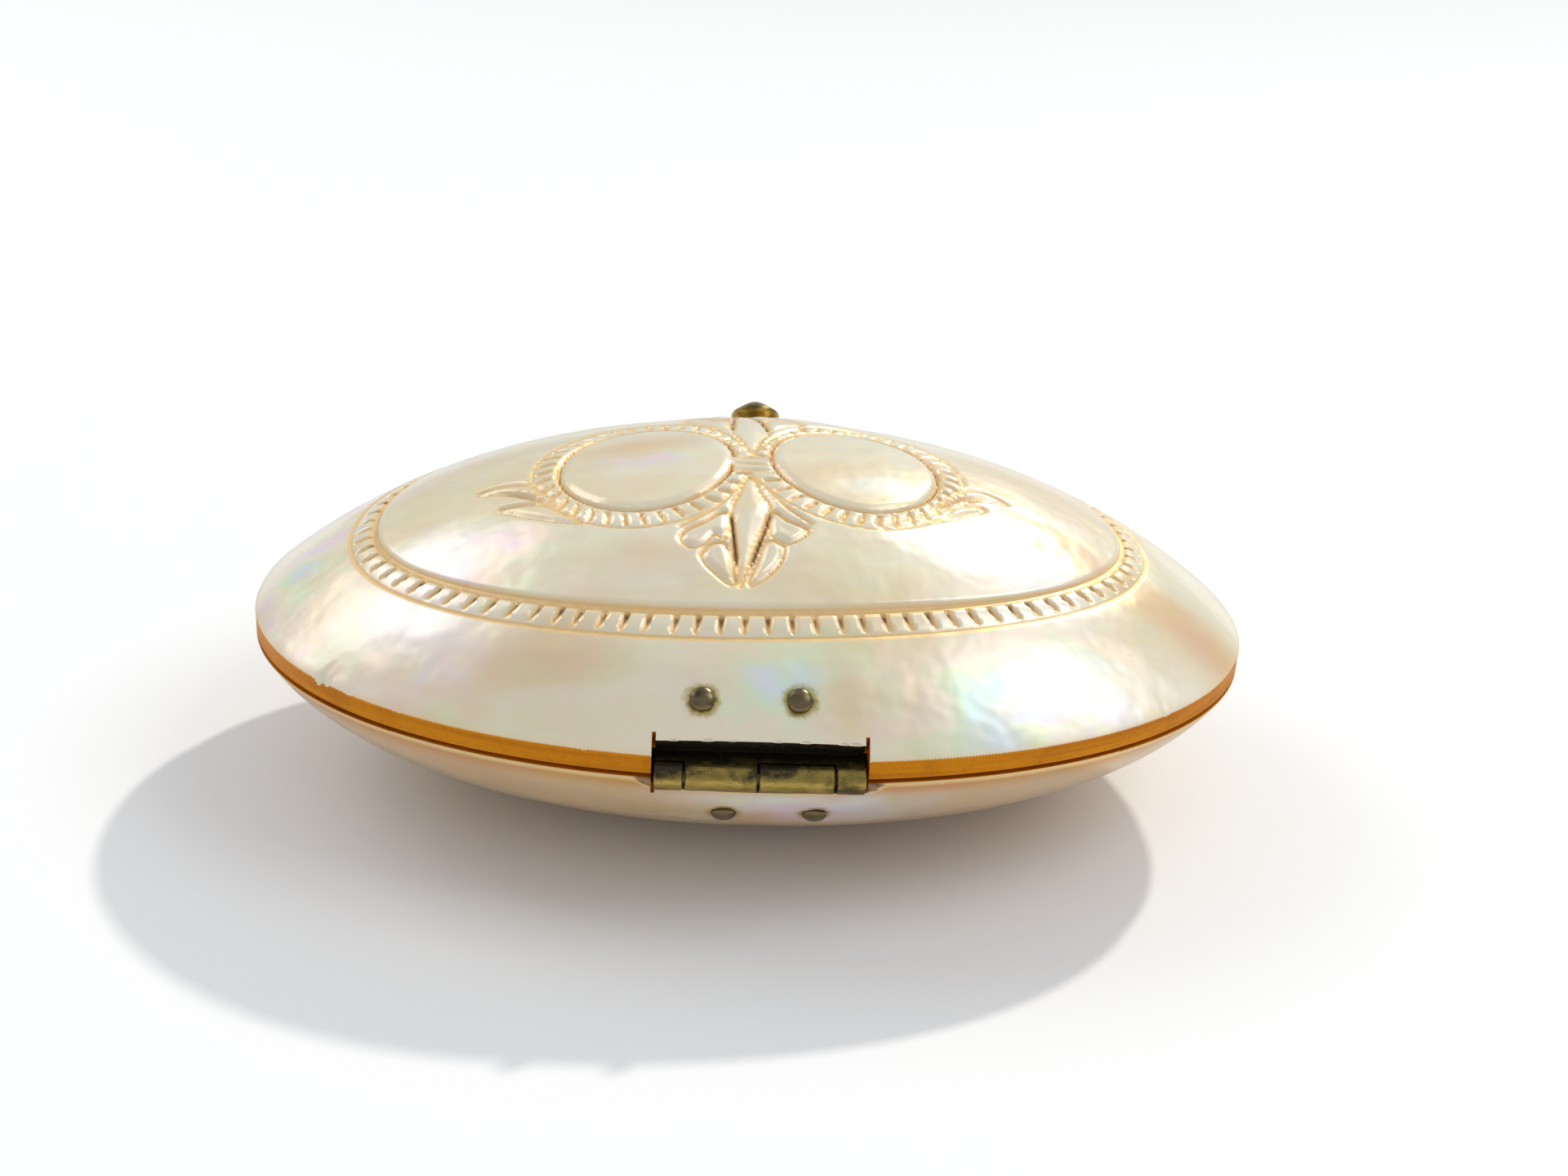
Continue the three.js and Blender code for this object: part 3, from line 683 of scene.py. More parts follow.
def lid_blank():
    shell = Shell()
    grid_x, grid_y, grid_faces, rim = square_on_disc(LID_CELLS)
    unit_x, unit_y = as_oval(grid_x, grid_y)
    turn = math.radians(PATTERN_TURN)

    def ring_curve(inset):
        long = (RING_RADII[0] - inset) * unit_x
        wide = (RING_RADII[1] - inset) * unit_y
        x = RING_CENTRE[0] + long * math.cos(turn) - wide * math.sin(turn)
        y = RING_CENTRE[1] + long * math.sin(turn) + wide * math.cos(turn)
        return x, y

    def carved(x, y, extra=0.0):
        depth, _ = carving(x, y)
        nudge = 0.02
        slope_x = (lid_top(x + nudge, y) - lid_top(x - nudge, y)) / (2 * nudge)
        slope_y = (lid_top(x, y + nudge) - lid_top(x, y - nudge)) / (2 * nudge)
        steep = np.sqrt(1 + slope_x**2 + slope_y**2)
        sink = (depth + extra) / steep
        return x + slope_x * sink, y + slope_y * sink, lid_top(x, y) - sink

    inner_x, inner_y = ring_curve(RING_WIDTH + 0.1)
    numbers = shell.add(*carved(inner_x, inner_y))
    shell.skin(numbers[grid_faces])
    last = numbers[rim]

    outer_x, outer_y = ring_curve(-0.1)
    outline_x = HALF_LENGTH * unit_x[rim]
    outline_y = HALF_WIDTH * unit_y[rim]
    bevel = 0.05
    for share in np.linspace(0, 1, 16)[1:]:
        x = inner_x[rim] + share * (outer_x[rim] - inner_x[rim])
        y = inner_y[rim] + share * (outer_y[rim] - inner_y[rim])
        ring = shell.add(*carved(x, y))
        shell.skin(ring_faces(last, ring))
        last = ring
    angle = np.degrees(np.arctan2(outline_y / HALF_WIDTH, outline_x / HALF_LENGTH)) % 360
    lost = chipped(angle)
    for share in (0.25, 0.5, 0.75, 0.9, 0.97):
        x = outer_x[rim] + share * (outline_x - outer_x[rim])
        y = outer_y[rim] + share * (outline_y - outer_y[rim])
        ring = shell.add(*carved(x, y, 0.6 * lost if share == 0.97 else 0.0))
        shell.skin(ring_faces(last, ring))
        last = ring

    def upright(inset, z):
        nonlocal last
        scale_x = 1 - inset / HALF_LENGTH
        scale_y = 1 - inset / HALF_WIDTH
        ring = shell.add(outline_x * scale_x, outline_y * scale_y, z * np.ones(len(rim)))
        shell.skin(ring_faces(last, ring))
        last = ring

    upright(bevel, LID_EDGE_Z + 0.015 - lost)
    upright(0.0, LID_EDGE_Z - bevel - lost)
    upright(0.02, (LID_EDGE_Z + LID_BOTTOM_Z) / 2 - lost / 2)
    upright(0.0, LID_BOTTOM_Z + bevel)
    upright(bevel, LID_BOTTOM_Z)

    close_inside(shell, last, LID_BOTTOM_Z, CROWN_Z - WALL, LID_ROUNDNESS)
    return shell.make("lid_pearl")


def close_inside(shell, rim_ring, bottom, top, roundness):
    """The shell's flat seam face and its hollow."""
    x, y, faces, rim = square_on_disc(INNER_CELLS)
    unit_x, unit_y = as_oval(x, y)
    radius = np.hypot(x, y)
    height = dome(radius, roundness)
    z = bottom + (top - bottom) * height
    inner = shell.add((HALF_LENGTH - WALL) * unit_x, (HALF_WIDTH - WALL) * unit_y, z)
    shell.skin(inner[faces])
    shell.skin(stitch(rim_ring, inner[rim]))


def base_blank():
    shell = Shell()
    grid_x, grid_y, grid_faces, rim = square_on_disc(BASE_CELLS)
    turn = np.sin(np.hypot(grid_x, grid_y) * math.pi / 2)  # crowds the rings where the wall is steep
    stretch = turn / np.maximum(np.hypot(grid_x, grid_y), 1e-9)
    unit_x, unit_y = as_oval(grid_x * stretch, grid_y * stretch)
    x = HALF_LENGTH * unit_x
    y = HALF_WIDTH * unit_y
    bevel = 0.06
    depth = BASE_DEPTH - (SEAM - BASE_TOP_Z)
    z = BASE_TOP_Z - depth * dome(turn, BASE_ROUNDNESS)
    z = np.maximum(z, 0.0)
    z[rim] -= bevel
    numbers = shell.add(x, y, z)
    shell.skin(numbers[grid_faces])
    rim_x = x[rim] * (1 - bevel / HALF_LENGTH)
    rim_y = y[rim] * (1 - bevel / HALF_WIDTH)
    ring = shell.add(rim_x, rim_y, np.full(len(rim), BASE_TOP_Z))
    shell.skin(ring_faces(numbers[rim], ring))
    close_inside(shell, ring, BASE_TOP_Z, WALL - 0.35, BASE_ROUNDNESS)
    return shell.make("base_pearl")


# ---- where the fittings sit ----

LID_LEAF_SLOPE = Slope(HINGE_Y, SEAM, 45)
LID_LEAF_DEPTH = -0.8
BASE_LEAF_SLOPE = Slope(HINGE_Y, SEAM, -48)
BASE_LEAF_DEPTH = 1.055
CATCH_DEGREES = -44
KNOB_Y = 20.5
CATCH_SLOPE = Slope(KNOB_Y, float(lid_top(CATCH_X, KNOB_Y)), CATCH_DEGREES)
CATCH_DEPTH = -2.155
KEEPER_DEGREES = 226.3
KEEPER_SLOPE = Slope(22.0, SEAM - 0.9, KEEPER_DEGREES)
FIT = 0.08
SHANK_RADIUS = 0.8
SHANK_PLAY = 0.4
ESCUTCHEON_RADIUS = 2.2
CATCH_PLATE_HALF = 5.4
CATCH_PLATE_ENDS = (-5.2, 2.6)
KEEPER_HALF = 4.6
TONGUE_HALF = 1.95
TONGUE_Y = 19.0  # where the tongue hangs straight down into the base
TONGUE_END_Z = SEAM - 1.9


def seat(wall, x, y, degrees):
    return Slope(y, float(wall(x, y)), degrees)


RIVETS = {}
for side, lid_x, base_x, catch_x, keeper_x in (
    ("left", -3.8, -2.2, CATCH_X - 3.85, CATCH_X - 3.3),
    ("right", 2.2, 3.5, CATCH_X + 3.85, CATCH_X + 3.3),
):
    RIVETS[f"lid_hinge_rivet_{side}"] = ("lid", lid_x, seat(lid_top, lid_x, -21.85, 45))
    RIVETS[f"base_hinge_rivet_{side}"] = ("base", base_x, seat(base_under, base_x, -22.3, 132))
    RIVETS[f"catch_rivet_{side}"] = ("lid", catch_x, seat(lid_top, catch_x, 20.6, CATCH_DEGREES))
    RIVETS[f"keeper_rivet_{side}"] = ("base", keeper_x, seat(base_under, keeper_x, 21.9, KEEPER_DEGREES))

HOLE_RADIUS = 0.52


def rivet_holes(*kinds):
    return [hole(place, x, HOLE_RADIUS) for name, (_, x, place) in RIVETS.items() if name.startswith(kinds)]


def notch_chips():
    """Small flakes broken from the upper edge of the lid's notch: place along X, radius."""
    flakes = ((-5.5, 0.2), (-3.4, 0.26), (-1.9, 0.18), (0.9, 0.2), (2.6, 0.24), (5.0, 0.24), (5.7, 0.3))
    tools = []
    for x, radius in flakes:
        above = 0.0
        _, y, z = LID_LEAF_SLOPE.point(x, NOTCH_REACH, above)
        while z < lid_top(x, y):
            above += 0.02
            _, y, z = LID_LEAF_SLOPE.point(x, NOTCH_REACH, above)
        ball = [(0, -radius)]
        ball += [(radius * math.cos(a), radius * math.sin(a)) for a in (-0.8, 0, 0.8)]
        ball.append((0, radius))
        flat = Matrix.Diagonal((1.8, 0.7, 0.7, 1.0))
        _, y, z = LID_LEAF_SLOPE.point(x, NOTCH_REACH - 0.03, above)
        spot = Slope(y, z, 45)
        tools.append(turned(ball, 12, spot.matrix(x) @ flat))
    return tools


def lid_piece():
    left, right = NOTCH
    past = 5.0
    return cut(
        lid_blank(),
        block(LID_LEAF_SLOPE, (left, -past, -past), (right, NOTCH_REACH, past)),
        block(LID_LEAF_SLOPE, (left, -past, -0.4), (left + NICK_WIDTH, NICK_REACH, past)),
        block(LID_LEAF_SLOPE, (right - NICK_WIDTH, -past, -0.4), (right, NICK_REACH, past)),
        block(LID_LEAF_SLOPE, (left, 0, -past), (right, LEAF_POCKET_END, LID_LEAF_DEPTH + LEAF / 2 + FIT)),
        block(
            CATCH_SLOPE,
            (CATCH_X - CATCH_PLATE_HALF - 0.2, CATCH_PLATE_ENDS[0] - 0.2, -past),
            (CATCH_X + CATCH_PLATE_HALF + 0.2, CATCH_PLATE_ENDS[1] + 0.4, CATCH_DEPTH + LEAF / 2 + FIT),
        ),
        *rivet_holes("lid_hinge_rivet", "catch_rivet"),
        hole(CATCH_SLOPE, CATCH_X, SHANK_RADIUS + SHANK_PLAY, -past, past, 48),
        hole(CATCH_SLOPE, CATCH_X, ESCUTCHEON_RADIUS + 0.1, -0.2, past, 64),
        *notch_chips(),
    )


def base_piece():
    left, right = NOTCH
    past = 5.0
    floor = SEAM - 1.0
    return cut(
        base_blank(),
        block(LEVEL, (left, HINGE_Y - past, floor), (right, HINGE_Y + past, SEAM + past)),
        block(LEVEL, (left, HINGE_Y - past, floor - 0.55), (left + NICK_WIDTH, HINGE_Y + 1, SEAM)),
        block(BASE_LEAF_SLOPE, (left, 0.9, BASE_LEAF_DEPTH - LEAF / 2 - FIT), (right, LEAF_POCKET_END, past)),
        block(
            KEEPER_SLOPE,
            (CATCH_X - KEEPER_HALF - 0.2, -0.5, -past),
            (CATCH_X + KEEPER_HALF + 0.2, 4.6, FIT),
        ),
        *rivet_holes("base_hinge_rivet", "keeper_rivet"),
    )


# ---- the hinge and the catch ----


def strip(line, thickness, x0, x1, bevel):
    """A bent metal strip from its middle line of (y, z) points."""
    line = np.array(line, float)
    steps = np.diff(line, axis=0)
    steps /= np.linalg.norm(steps, axis=1)[:, None]
    before = np.vstack([steps[:1], steps])
    after = np.vstack([steps, steps[-1:]])
    across = np.stack([-(before + after)[:, 1], (before + after)[:, 0]], -1)
    across /= np.linalg.norm(across, axis=1)[:, None]
    reach = thickness / 2 / np.sqrt((1 + (before * after).sum(1)) / 2)
    upper = line + across * reach[:, None]
    lower = line - across * reach[:, None]
    profile = np.vstack([lower, upper[::-1]])
    count = len(profile)
    points = [(x, y, z) for x in (x0, x1) for y, z in profile]
    faces = [tuple(range(count)), tuple(range(2 * count - 1, count - 1, -1))]
    faces += [(i, i + count, (i + 1) % count + count, (i + 1) % count) for i in range(count)]
    made = make_object("strip", points, faces)
    outward(made)
    return soften(made, bevel)


def rounded_bend(start, bend, end, radius=0.5, steps=6):
    """Start, an arc round the bend, and end, as (y, z) points."""
    start, bend, end = (np.array(point, float) for point in (start, bend, end))
    into = (bend - start) / np.linalg.norm(bend - start)
    out = (end - bend) / np.linalg.norm(end - bend)
    reach = radius * math.tan(math.acos(np.clip(into @ out, -1, 1)) / 2)
    share = np.linspace(0, 1, steps + 1)[:, None]
    first = bend - into * reach
    last = bend + out * reach
    arc = (1 - share) ** 2 * first + 2 * share * (1 - share) * bend + share**2 * last
    return np.vstack([start, arc, end])


def hinge_leaf(name, slope, depth, rise, own, other, rivets):
    c = math.cos(slope.angle)
    s = math.sin(slope.angle)
    bend = np.array([HINGE_Y + (rise * c - depth) / s, SEAM + rise])
    line = rounded_bend((HINGE_Y, SEAM + rise), bend, bend + 4.5 * np.array([c, s]))
    leaf_strip = strip(line, LEAF, KNUCKLE_ENDS[0] + 0.05, KNUCKLE_ENDS[4] - 0.05, 0.05)
    gap = 0.05
    spaces = [
        bar_along_x(KNUCKLE_RADIUS + 0.1, KNUCKLE_ENDS[i] - gap, KNUCKLE_ENDS[i + 1] + gap) for i in other
    ]
    cut(leaf_strip, *spaces)
    for i in own:
        join(leaf_strip, bar_along_x(KNUCKLE_RADIUS, KNUCKLE_ENDS[i] + gap, KNUCKLE_ENDS[i + 1] - gap, 0.09))
    bore = bar_along_x(PIN_BORE_RADIUS, KNUCKLE_ENDS[0] - 1, KNUCKLE_ENDS[4] + 1)
    cut(leaf_strip, bore, *rivet_holes(rivets))
    leaf_strip.name = name
    return leaf_strip


def rivet(name, x, place, depth):
    """Domed head outside, shank, and a spread tail inside."""
    head = 0.78
    rise = 0.42
    tail = -depth - FIT
    outline = [
        (0, tail - 0.3), (0.45, tail - 0.3), (0.62, tail - 0.24), (0.7, tail - 0.1), (0.68, tail),
        (0.42, tail), (0.42, FIT), (head - 0.03, FIT), (head, FIT + 0.03),
    ]
    for i in range(1, 9):
        angle = math.pi / 2 * i / 8
        outline.append((head * math.cos(angle) if i < 8 else 0, FIT + 0.03 + (rise - 0.03) * math.sin(angle)))
    made = turned(outline, 40, place.matrix(x), wobble=0.035)
    made.name = name
    return made


def depth_under(place, plane, plane_depth):
    """How far a leaf's or plate's inner face lies under a rivet's seat."""
    _, y, z = plane.point(0, 0, plane_depth)
    return (place.y - y) * -math.sin(place.angle) + (place.z - z) * math.cos(place.angle)


def knob():
    tail = CATCH_DEPTH - LEAF / 2 - 0.3 - 2 * FIT
    tip = 4.15
    radius = 1.95
    tip_radius = 1.5
    flank = math.radians(37)
    flank_radius = tip_radius * math.sin(flank)
    flank_height = tip - tip_radius * (1 - math.cos(flank))
    rim = flank_height - (radius - flank_radius) * math.tan(flank)
    outline = [
        (0, tail - 0.3), (0.8, tail - 0.3), (1.02, tail - 0.24), (1.1, tail - 0.12), (1.1, tail),
        (SHANK_RADIUS, tail), (SHANK_RADIUS, 0.9),
    ]
    for i in range(9):  # the bead round the shank
        angle = math.pi * (i / 8 - 0.5)
        outline.append((SHANK_RADIUS + 0.2 + 0.3 * math.cos(angle), 1.2 + 0.28 * math.sin(angle)))
    waist = [
        (SHANK_RADIUS + 0.1, 1.62), (SHANK_RADIUS + 0.12, rim - 1.05), (1.2, rim - 0.8),
        (1.58, rim - 0.52), (1.85, rim - 0.38), (radius - 0.02, rim - 0.3), (radius, rim - 0.2),
        (radius, rim - 0.06), (radius - 0.05, rim + 0.03),
    ]
    outline += waist
    outline.append((flank_radius, flank_height))
    for share in (0.8, 0.6, 0.4, 0.2):
        angle = flank * share
        outline.append((tip_radius * math.sin(angle), tip - tip_radius * (1 - math.cos(angle))))
    outline.append((0, tip))
    return turned(outline, 72, CATCH_SLOPE.matrix(CATCH_X))


def knob_burr():
    top = CATCH_DEPTH - LEAF / 2 - FIT
    inner = SHANK_RADIUS + 0.1
    outline = [
        (inner, top - 0.3), (1.12, top - 0.3), (1.2, top - 0.2), (1.2, top - 0.08), (1.12, top),
        (inner, top), (inner, top - 0.3),
    ]
    return turned(outline, 48, CATCH_SLOPE.matrix(CATCH_X))


def escutcheon():
    inner = SHANK_RADIUS + SHANK_PLAY
    foot = -0.12
    top = foot + 0.45
    r = ESCUTCHEON_RADIUS
    outline = [
        (inner, foot), (r, foot), (r, top - 0.22), (r - 0.05, top - 0.1), (r - 0.18, top - 0.02),
        (r - 0.32, top), (r - 0.42, top - 0.07), (r - 0.52, top - 0.07), (r - 0.62, top),
        (inner + 0.06, top), (inner, top - 0.06), (inner, foot),
    ]
    return turned(outline, 72, CATCH_SLOPE.matrix(CATCH_X))


def catch_plate():
    top, end = CATCH_PLATE_ENDS
    low = (CATCH_X - CATCH_PLATE_HALF, top, CATCH_DEPTH - LEAF / 2)
    high = (CATCH_X + CATCH_PLATE_HALF, end, CATCH_DEPTH + LEAF / 2)
    made = block(CATCH_SLOPE, low, high, 0.06)
    half = TONGUE_HALF + 0.1
    slit = block(CATCH_SLOPE, (CATCH_X - half, -4.3, -5), (CATCH_X + half, 5, 5))
    return cut(made, slit, *rivet_holes("catch_rivet"))


def catch_spring():
    def point(along, above):
        return CATCH_SLOPE.point(0, along, above)[1:]

    bend = (TONGUE_Y, SEAM + 0.6)
    left = CATCH_X - TONGUE_HALF
    right = CATCH_X + TONGUE_HALF
    first = rounded_bend(point(-4.2, CATCH_DEPTH), point(1.45, CATCH_DEPTH), bend, 0.35)
    second = rounded_bend(first[-2], bend, (TONGUE_Y, TONGUE_END_Z), 0.5)
    line = np.vstack([first[:-1], second[1:]])
    made = strip(line, LEAF, left, right, 0.05)
    join(made, block(LEVEL, (left, TONGUE_Y, TONGUE_END_Z), (right, TONGUE_Y + 0.8, SEAM - 1.5), 0.05))
    return cut(made, hole(CATCH_SLOPE, CATCH_X, SHANK_RADIUS + 0.1, -5, 0))


def keeper_plate():
    low = (CATCH_X - KEEPER_HALF, -0.2, -FIT - LEAF)
    high = (CATCH_X + KEEPER_HALF, 4.3, -FIT)
    made = block(KEEPER_SLOPE, low, high, 0.06)
    join(made, block(LEVEL, (CATCH_X - 2.6, 20.3, SEAM - 1.1), (CATCH_X + 2.6, 21.45, SEAM - 0.7), 0.05))
    return cut(made, *rivet_holes("keeper_rivet"))


# ---- materials ----


class Recipe:
    """Builds one node material."""

    def __init__(self, name):
        self.material = bpy.data.materials.new(name)
        self.material.use_nodes = True
        self.tree = self.material.node_tree
        self.tree.nodes.clear()
        self.shader = self.add("ShaderNodeBsdfPrincipled")
        output = self.add("ShaderNodeOutputMaterial")
        self.link(self.shader.outputs[0], output.inputs["Surface"])

    def add(self, kind, inputs=None, **settings):
        node = self.tree.nodes.new(kind)
        for key, value in settings.items():
            setattr(node, key, value)
        for key, value in (inputs or {}).items():
            self.feed(value, node.inputs[key])
        return node

    def link(self, source, target):
        self.tree.links.new(source, target)

    def feed(self, value, socket):
        if isinstance(value, bpy.types.NodeSocket):
            self.link(value, socket)
        elif isinstance(value, bpy.types.Node):
            self.link(value.outputs[0], socket)
        else:
            socket.default_value = value

    def set(self, **values):
        for key, value in values.items():
            self.feed(value, self.shader.inputs[key.replace("_", " ")])

    def place(self, scale=(1000, 1000, 1000), turn=(0, 0, 0)):
        """The piece's own coordinates times a scale; 1000 gives millimetres."""
        coordinates = self.add("ShaderNodeTexCoord")
        mapping = self.add("ShaderNodeMapping", {"Scale": scale, "Rotation": turn})
        self.link(coordinates.outputs["Object"], mapping.inputs["Vector"])
        return mapping

    def noise(self, scale, detail=3.0, roughness=0.5, distortion=0.0, vector=None):
        node = self.add(
            "ShaderNodeTexNoise",
            {"Scale": scale, "Detail": detail, "Roughness": roughness, "Distortion": distortion},
        )
        self.link((vector or self.place()).outputs[0], node.inputs["Vector"])
        return node.outputs[0]

    def math(self, operation, first, second=0.5, clamp=False):
        node = self.add("ShaderNodeMath", {0: first, 1: second}, operation=operation, use_clamp=clamp)
        return node.outputs[0]

    def attribute(self, name):
        return self.add("ShaderNodeAttribute", attribute_name=name).outputs["Fac"]

    def halo(self, places, inner, outer):
        """1 within the inner distance of any of the places, in millimetres, 0 beyond the ragged outer one."""
        spot = self.place()
        ragged = self.math("MULTIPLY", self.noise(1.3, 3.0, 0.6), 0.9)
        nearest = None
        for place in places:
            away = self.add("ShaderNodeVectorMath", operation="DISTANCE")
            self.link(spot.outputs[0], away.inputs[0])
            away.inputs[1].default_value = place
            reach = away.outputs["Value"]
            nearest = reach if nearest is None else self.math("MINIMUM", nearest, reach)
        return self.step(self.math("SUBTRACT", nearest, self.math("SUBTRACT", ragged, 0.45)), outer, inner)

    def step(self, value, low, high):
        """0 below low, 1 above high."""
        node = self.add("ShaderNodeMapRange", {0: value, 1: low, 2: high}, interpolation_type="SMOOTHSTEP")
        return node.outputs[0]

    def ramp(self, value, stops):
        node = self.add("ShaderNodeValToRGB", {0: value})
        elements = node.color_ramp.elements
        while len(elements) < len(stops):
            elements.new(0.5)
        for element, (position, colour) in zip(elements, stops):
            element.position = position
            element.color = (*colour, 1)
        return node.outputs[0]

    def mix(self, share, first, second):
        node = self.add("ShaderNodeMix", data_type="RGBA")
        self.feed(share, node.inputs[0])
        for value, socket in ((first, node.inputs[6]), (second, node.inputs[7])):
            self.feed((*value, 1) if isinstance(value, tuple) and len(value) == 3 else value, socket)
        return node.outputs[2]

    def bump(self, height, strength, distance, before=None):
        node = self.add("ShaderNodeBump", {"Height": height, "Strength": strength, "Distance": distance * MM})
        if before is not None:
            self.link(before, node.inputs["Normal"])
        return node.outputs[0]


PALE = (0.88, 0.80, 0.58)
WARM = (0.82, 0.69, 0.43)
TAN = (0.78, 0.53, 0.29)
# the colour of the painted shade on the base
DEEP_TAN = (0.56, 0.33, 0.13)
WHITE = (0.97, 0.95, 0.92)
GOLD_DIRT = (0.86, 0.60, 0.27)
BROWN_DIRT = (0.34, 0.20, 0.075)
DARK_DIRT = (0.10, 0.065, 0.025)
# colour of the painted glow where light shines through the shell
AMBER_GLOW = (0.62, 0.24, 0.012)
PLAY = (
    (0.0, (0.97, 0.70, 0.80)),
    (0.22, (0.96, 0.84, 0.66)),
    (0.42, (0.74, 0.92, 0.62)),
    (0.62, (0.72, 0.84, 0.98)),
    (0.82, (0.84, 0.74, 0.98)),
    (1.0, (0.97, 0.70, 0.82)),
)


def pearl(name, warmth, play_floor, stained):
    """Mother-of-pearl with stains round the places of the rivets."""
    r = Recipe(name)
    broad = r.noise(0.07, 2.0, 0.5, 0.6)
    silk = r.noise(1.0, 3.0, 0.5, 0.8, r.place((60, 190, 140), (0.2, 0.1, 0.55)))
    body = r.mix(r.step(broad, 0.35, 0.68), PALE, WARM)
    body = r.mix(r.math("MULTIPLY", r.step(silk, 0.42, 0.72), 0.35), body, WHITE)
    body = r.mix(warmth, body, TAN)
    body = r.mix(r.attribute("tan"), body, TAN)
    # painted shade: the base darkened towards a deep tan
    body = r.mix(r.attribute("shade"), body, DEEP_TAN)
    # painted highlight: glare and bright lustre zones mixed towards white
    body = r.mix(r.attribute("light"), body, WHITE)
    ripple = r.noise(1.0, 2.0, 0.5, 1.0, r.place((150, 330, 260), (0, 0, -0.6)))
    clouds = r.noise(0.16, 2.0, 0.5, 0.4)
    ripples = r.math("MULTIPLY", r.math("SUBTRACT", ripple, 0.5), 0.9)
    shift = r.math("ADD", ripples, r.math("SUBTRACT", clouds, 0.5))
    hue = r.math("FRACT", r.math("ADD", r.attribute("hue"), shift))
    patches = r.step(r.noise(0.25, 2.0, 0.5), 0.28, 0.66)
    strength = r.math("MULTIPLY", patches, r.math("ADD", r.attribute("play"), play_floor))
    body = r.mix(r.math("MULTIPLY", strength, 0.95, True), body, r.ramp(hue, PLAY))
    lines = r.noise(1.0, 3.0, 0.6, 1.5, r.place((90, 700, 500), (0, 0, -0.5)))
    body = r.mix(r.math("MULTIPLY", r.step(lines, 0.5, 0.8), 0.12), body, (0.70, 0.58, 0.42))
    # painted glow: amber of light shining through the shell
    body = r.mix(r.attribute("glow"), body, AMBER_GLOW)
    grime = r.noise(1.6, 4.0, 0.6)
    dirt = r.math("MULTIPLY", r.attribute("dirt"), r.math("ADD", r.math("MULTIPLY", grime, 0.7), 0.65), True)
    body = r.mix(r.step(dirt, 0.04, 0.42), body, GOLD_DIRT)
    body = r.mix(r.step(dirt, 0.45, 0.85), body, BROWN_DIRT)
    body = r.mix(r.step(dirt, 0.85, 1.0), body, DARK_DIRT)
    stain = r.halo(stained, 0.86, 1.3)
    body = r.mix(r.math("MULTIPLY", stain, 0.85), body, (0.46, 0.34, 0.025))
    body = r.mix(r.math("MULTIPLY", r.halo(stained, 0.72, 0.95), 0.8), body, (0.10, 0.075, 0.02))
    gloss = r.math("ADD", r.math("MULTIPLY", broad, 0.1), 0.24)
    gloss = r.math("ADD", gloss, r.math("MULTIPLY", dirt, 0.4), True)
    swell = r.noise(0.3, 2.0, 0.4)
    normal = r.bump(swell, 0.4, 0.6)
    normal = r.bump(silk, 0.2, 0.25, normal)
    film = r.math("ADD", r.math("MULTIPLY", shift, 300.0), 480.0)
    r.set(Base_Color=body, Roughness=gloss, IOR=1.66, Normal=normal, Metallic=0.28)
    r.set(Subsurface_Weight=0.1, Subsurface_Scale=0.0012, Subsurface_Radius=(1.0, 0.7, 0.4))
    r.set(Coat_Weight=0.3, Coat_Roughness=0.1, Coat_IOR=1.5)
    r.set(Thin_Film_Thickness=film, Thin_Film_IOR=1.5)
    return r.material


def amber_edge(name, grimy):
    """The sawn edge of the shell: translucent amber layers, their orange partly painted glow of light through
    the shell, with more or less black grime on them.
    """
    r = Recipe(name)
    layers = r.noise(1.0, 3.0, 0.5, 0.3, r.place((60, 60, 2600)))
    cloud = r.noise(0.35, 3.0, 0.5)
    tones = ((0.3, (0.53, 0.165, 0.001)), (0.5, (0.63, 0.215, 0.001)), (0.7, (0.69, 0.255, 0.002)))
    body = r.ramp(layers, tones)
    body = r.mix(r.math("MULTIPLY", r.step(cloud, 0.5, 0.75), 0.4), body, (0.42, 0.12, 0.001))
    grime = r.noise(3.0, 4.0, 0.6)
    body = r.mix(r.math("MULTIPLY", r.step(grime, 0.45, 0.7), grimy), body, (0.012, 0.009, 0.005))
    normal = r.bump(layers, 0.1, 0.03)
    normal = r.bump(r.noise(5.0, 4.0, 0.7), 0.1, 0.03, normal)
    r.set(Base_Color=body, Roughness=0.5, IOR=1.5, Normal=normal, Specular_IOR_Level=0.12)
    r.set(Subsurface_Weight=0.15, Subsurface_Scale=0.001, Subsurface_Radius=(1.0, 0.4, 0.05))
    return r.material


def old_metal(name, bright, worn, dark, patina_low, patina_high, roughness):
    """Brass or bronze with soft tarnish, fine scratches and small pits; an attribute blackens what is hidden,
    as tarnish and painted shade.
    """
    r = Recipe(name)
    patches = r.noise(0.55, 3.0, 0.5, 0.3, r.place((600, 1500, 1500)))
    specks = r.noise(7.0, 4.0, 0.7)
    scratch = r.noise(1.0, 4.0, 0.7, 0.0, r.place((700, 9000, 9000)))
    colour = r.ramp(patches, ((0.3, worn), (0.5, bright), (0.68, worn)))
    mottled = r.math("ADD", patches, r.math("MULTIPLY", specks, 0.22))
    uneven = r.math("ADD", r.math("MULTIPLY", r.noise(1.5, 4.0, 0.6), 1.1), -0.1)
    # painted shade and tarnish: hidden parts blackened
    hidden = r.math("MULTIPLY", r.attribute("dirt"), uneven)
    tarnish = r.step(r.math("ADD", mottled, hidden), patina_low, patina_high)
    colour = r.mix(tarnish, colour, dark)
    colour = r.mix(r.math("MULTIPLY", r.step(specks, 0.6, 0.72), 0.6), colour, (0.02, 0.015, 0.008))
    metallic = r.math("SUBTRACT", 1.0, r.math("MULTIPLY", tarnish, 0.4), True)
    dull = r.math("ADD", r.math("MULTIPLY", tarnish, 0.2), roughness)
    gloss = r.math("ADD", r.math("MULTIPLY", scratch, 0.2), dull, True)
    normal = r.bump(patches, 0.25, 0.06)
    normal = r.bump(scratch, 0.2, 0.012, normal)
    normal = r.bump(specks, 0.3, 0.02, normal)
    r.set(Base_Color=colour, Metallic=metallic, Roughness=gloss, Normal=normal)
    return r.material


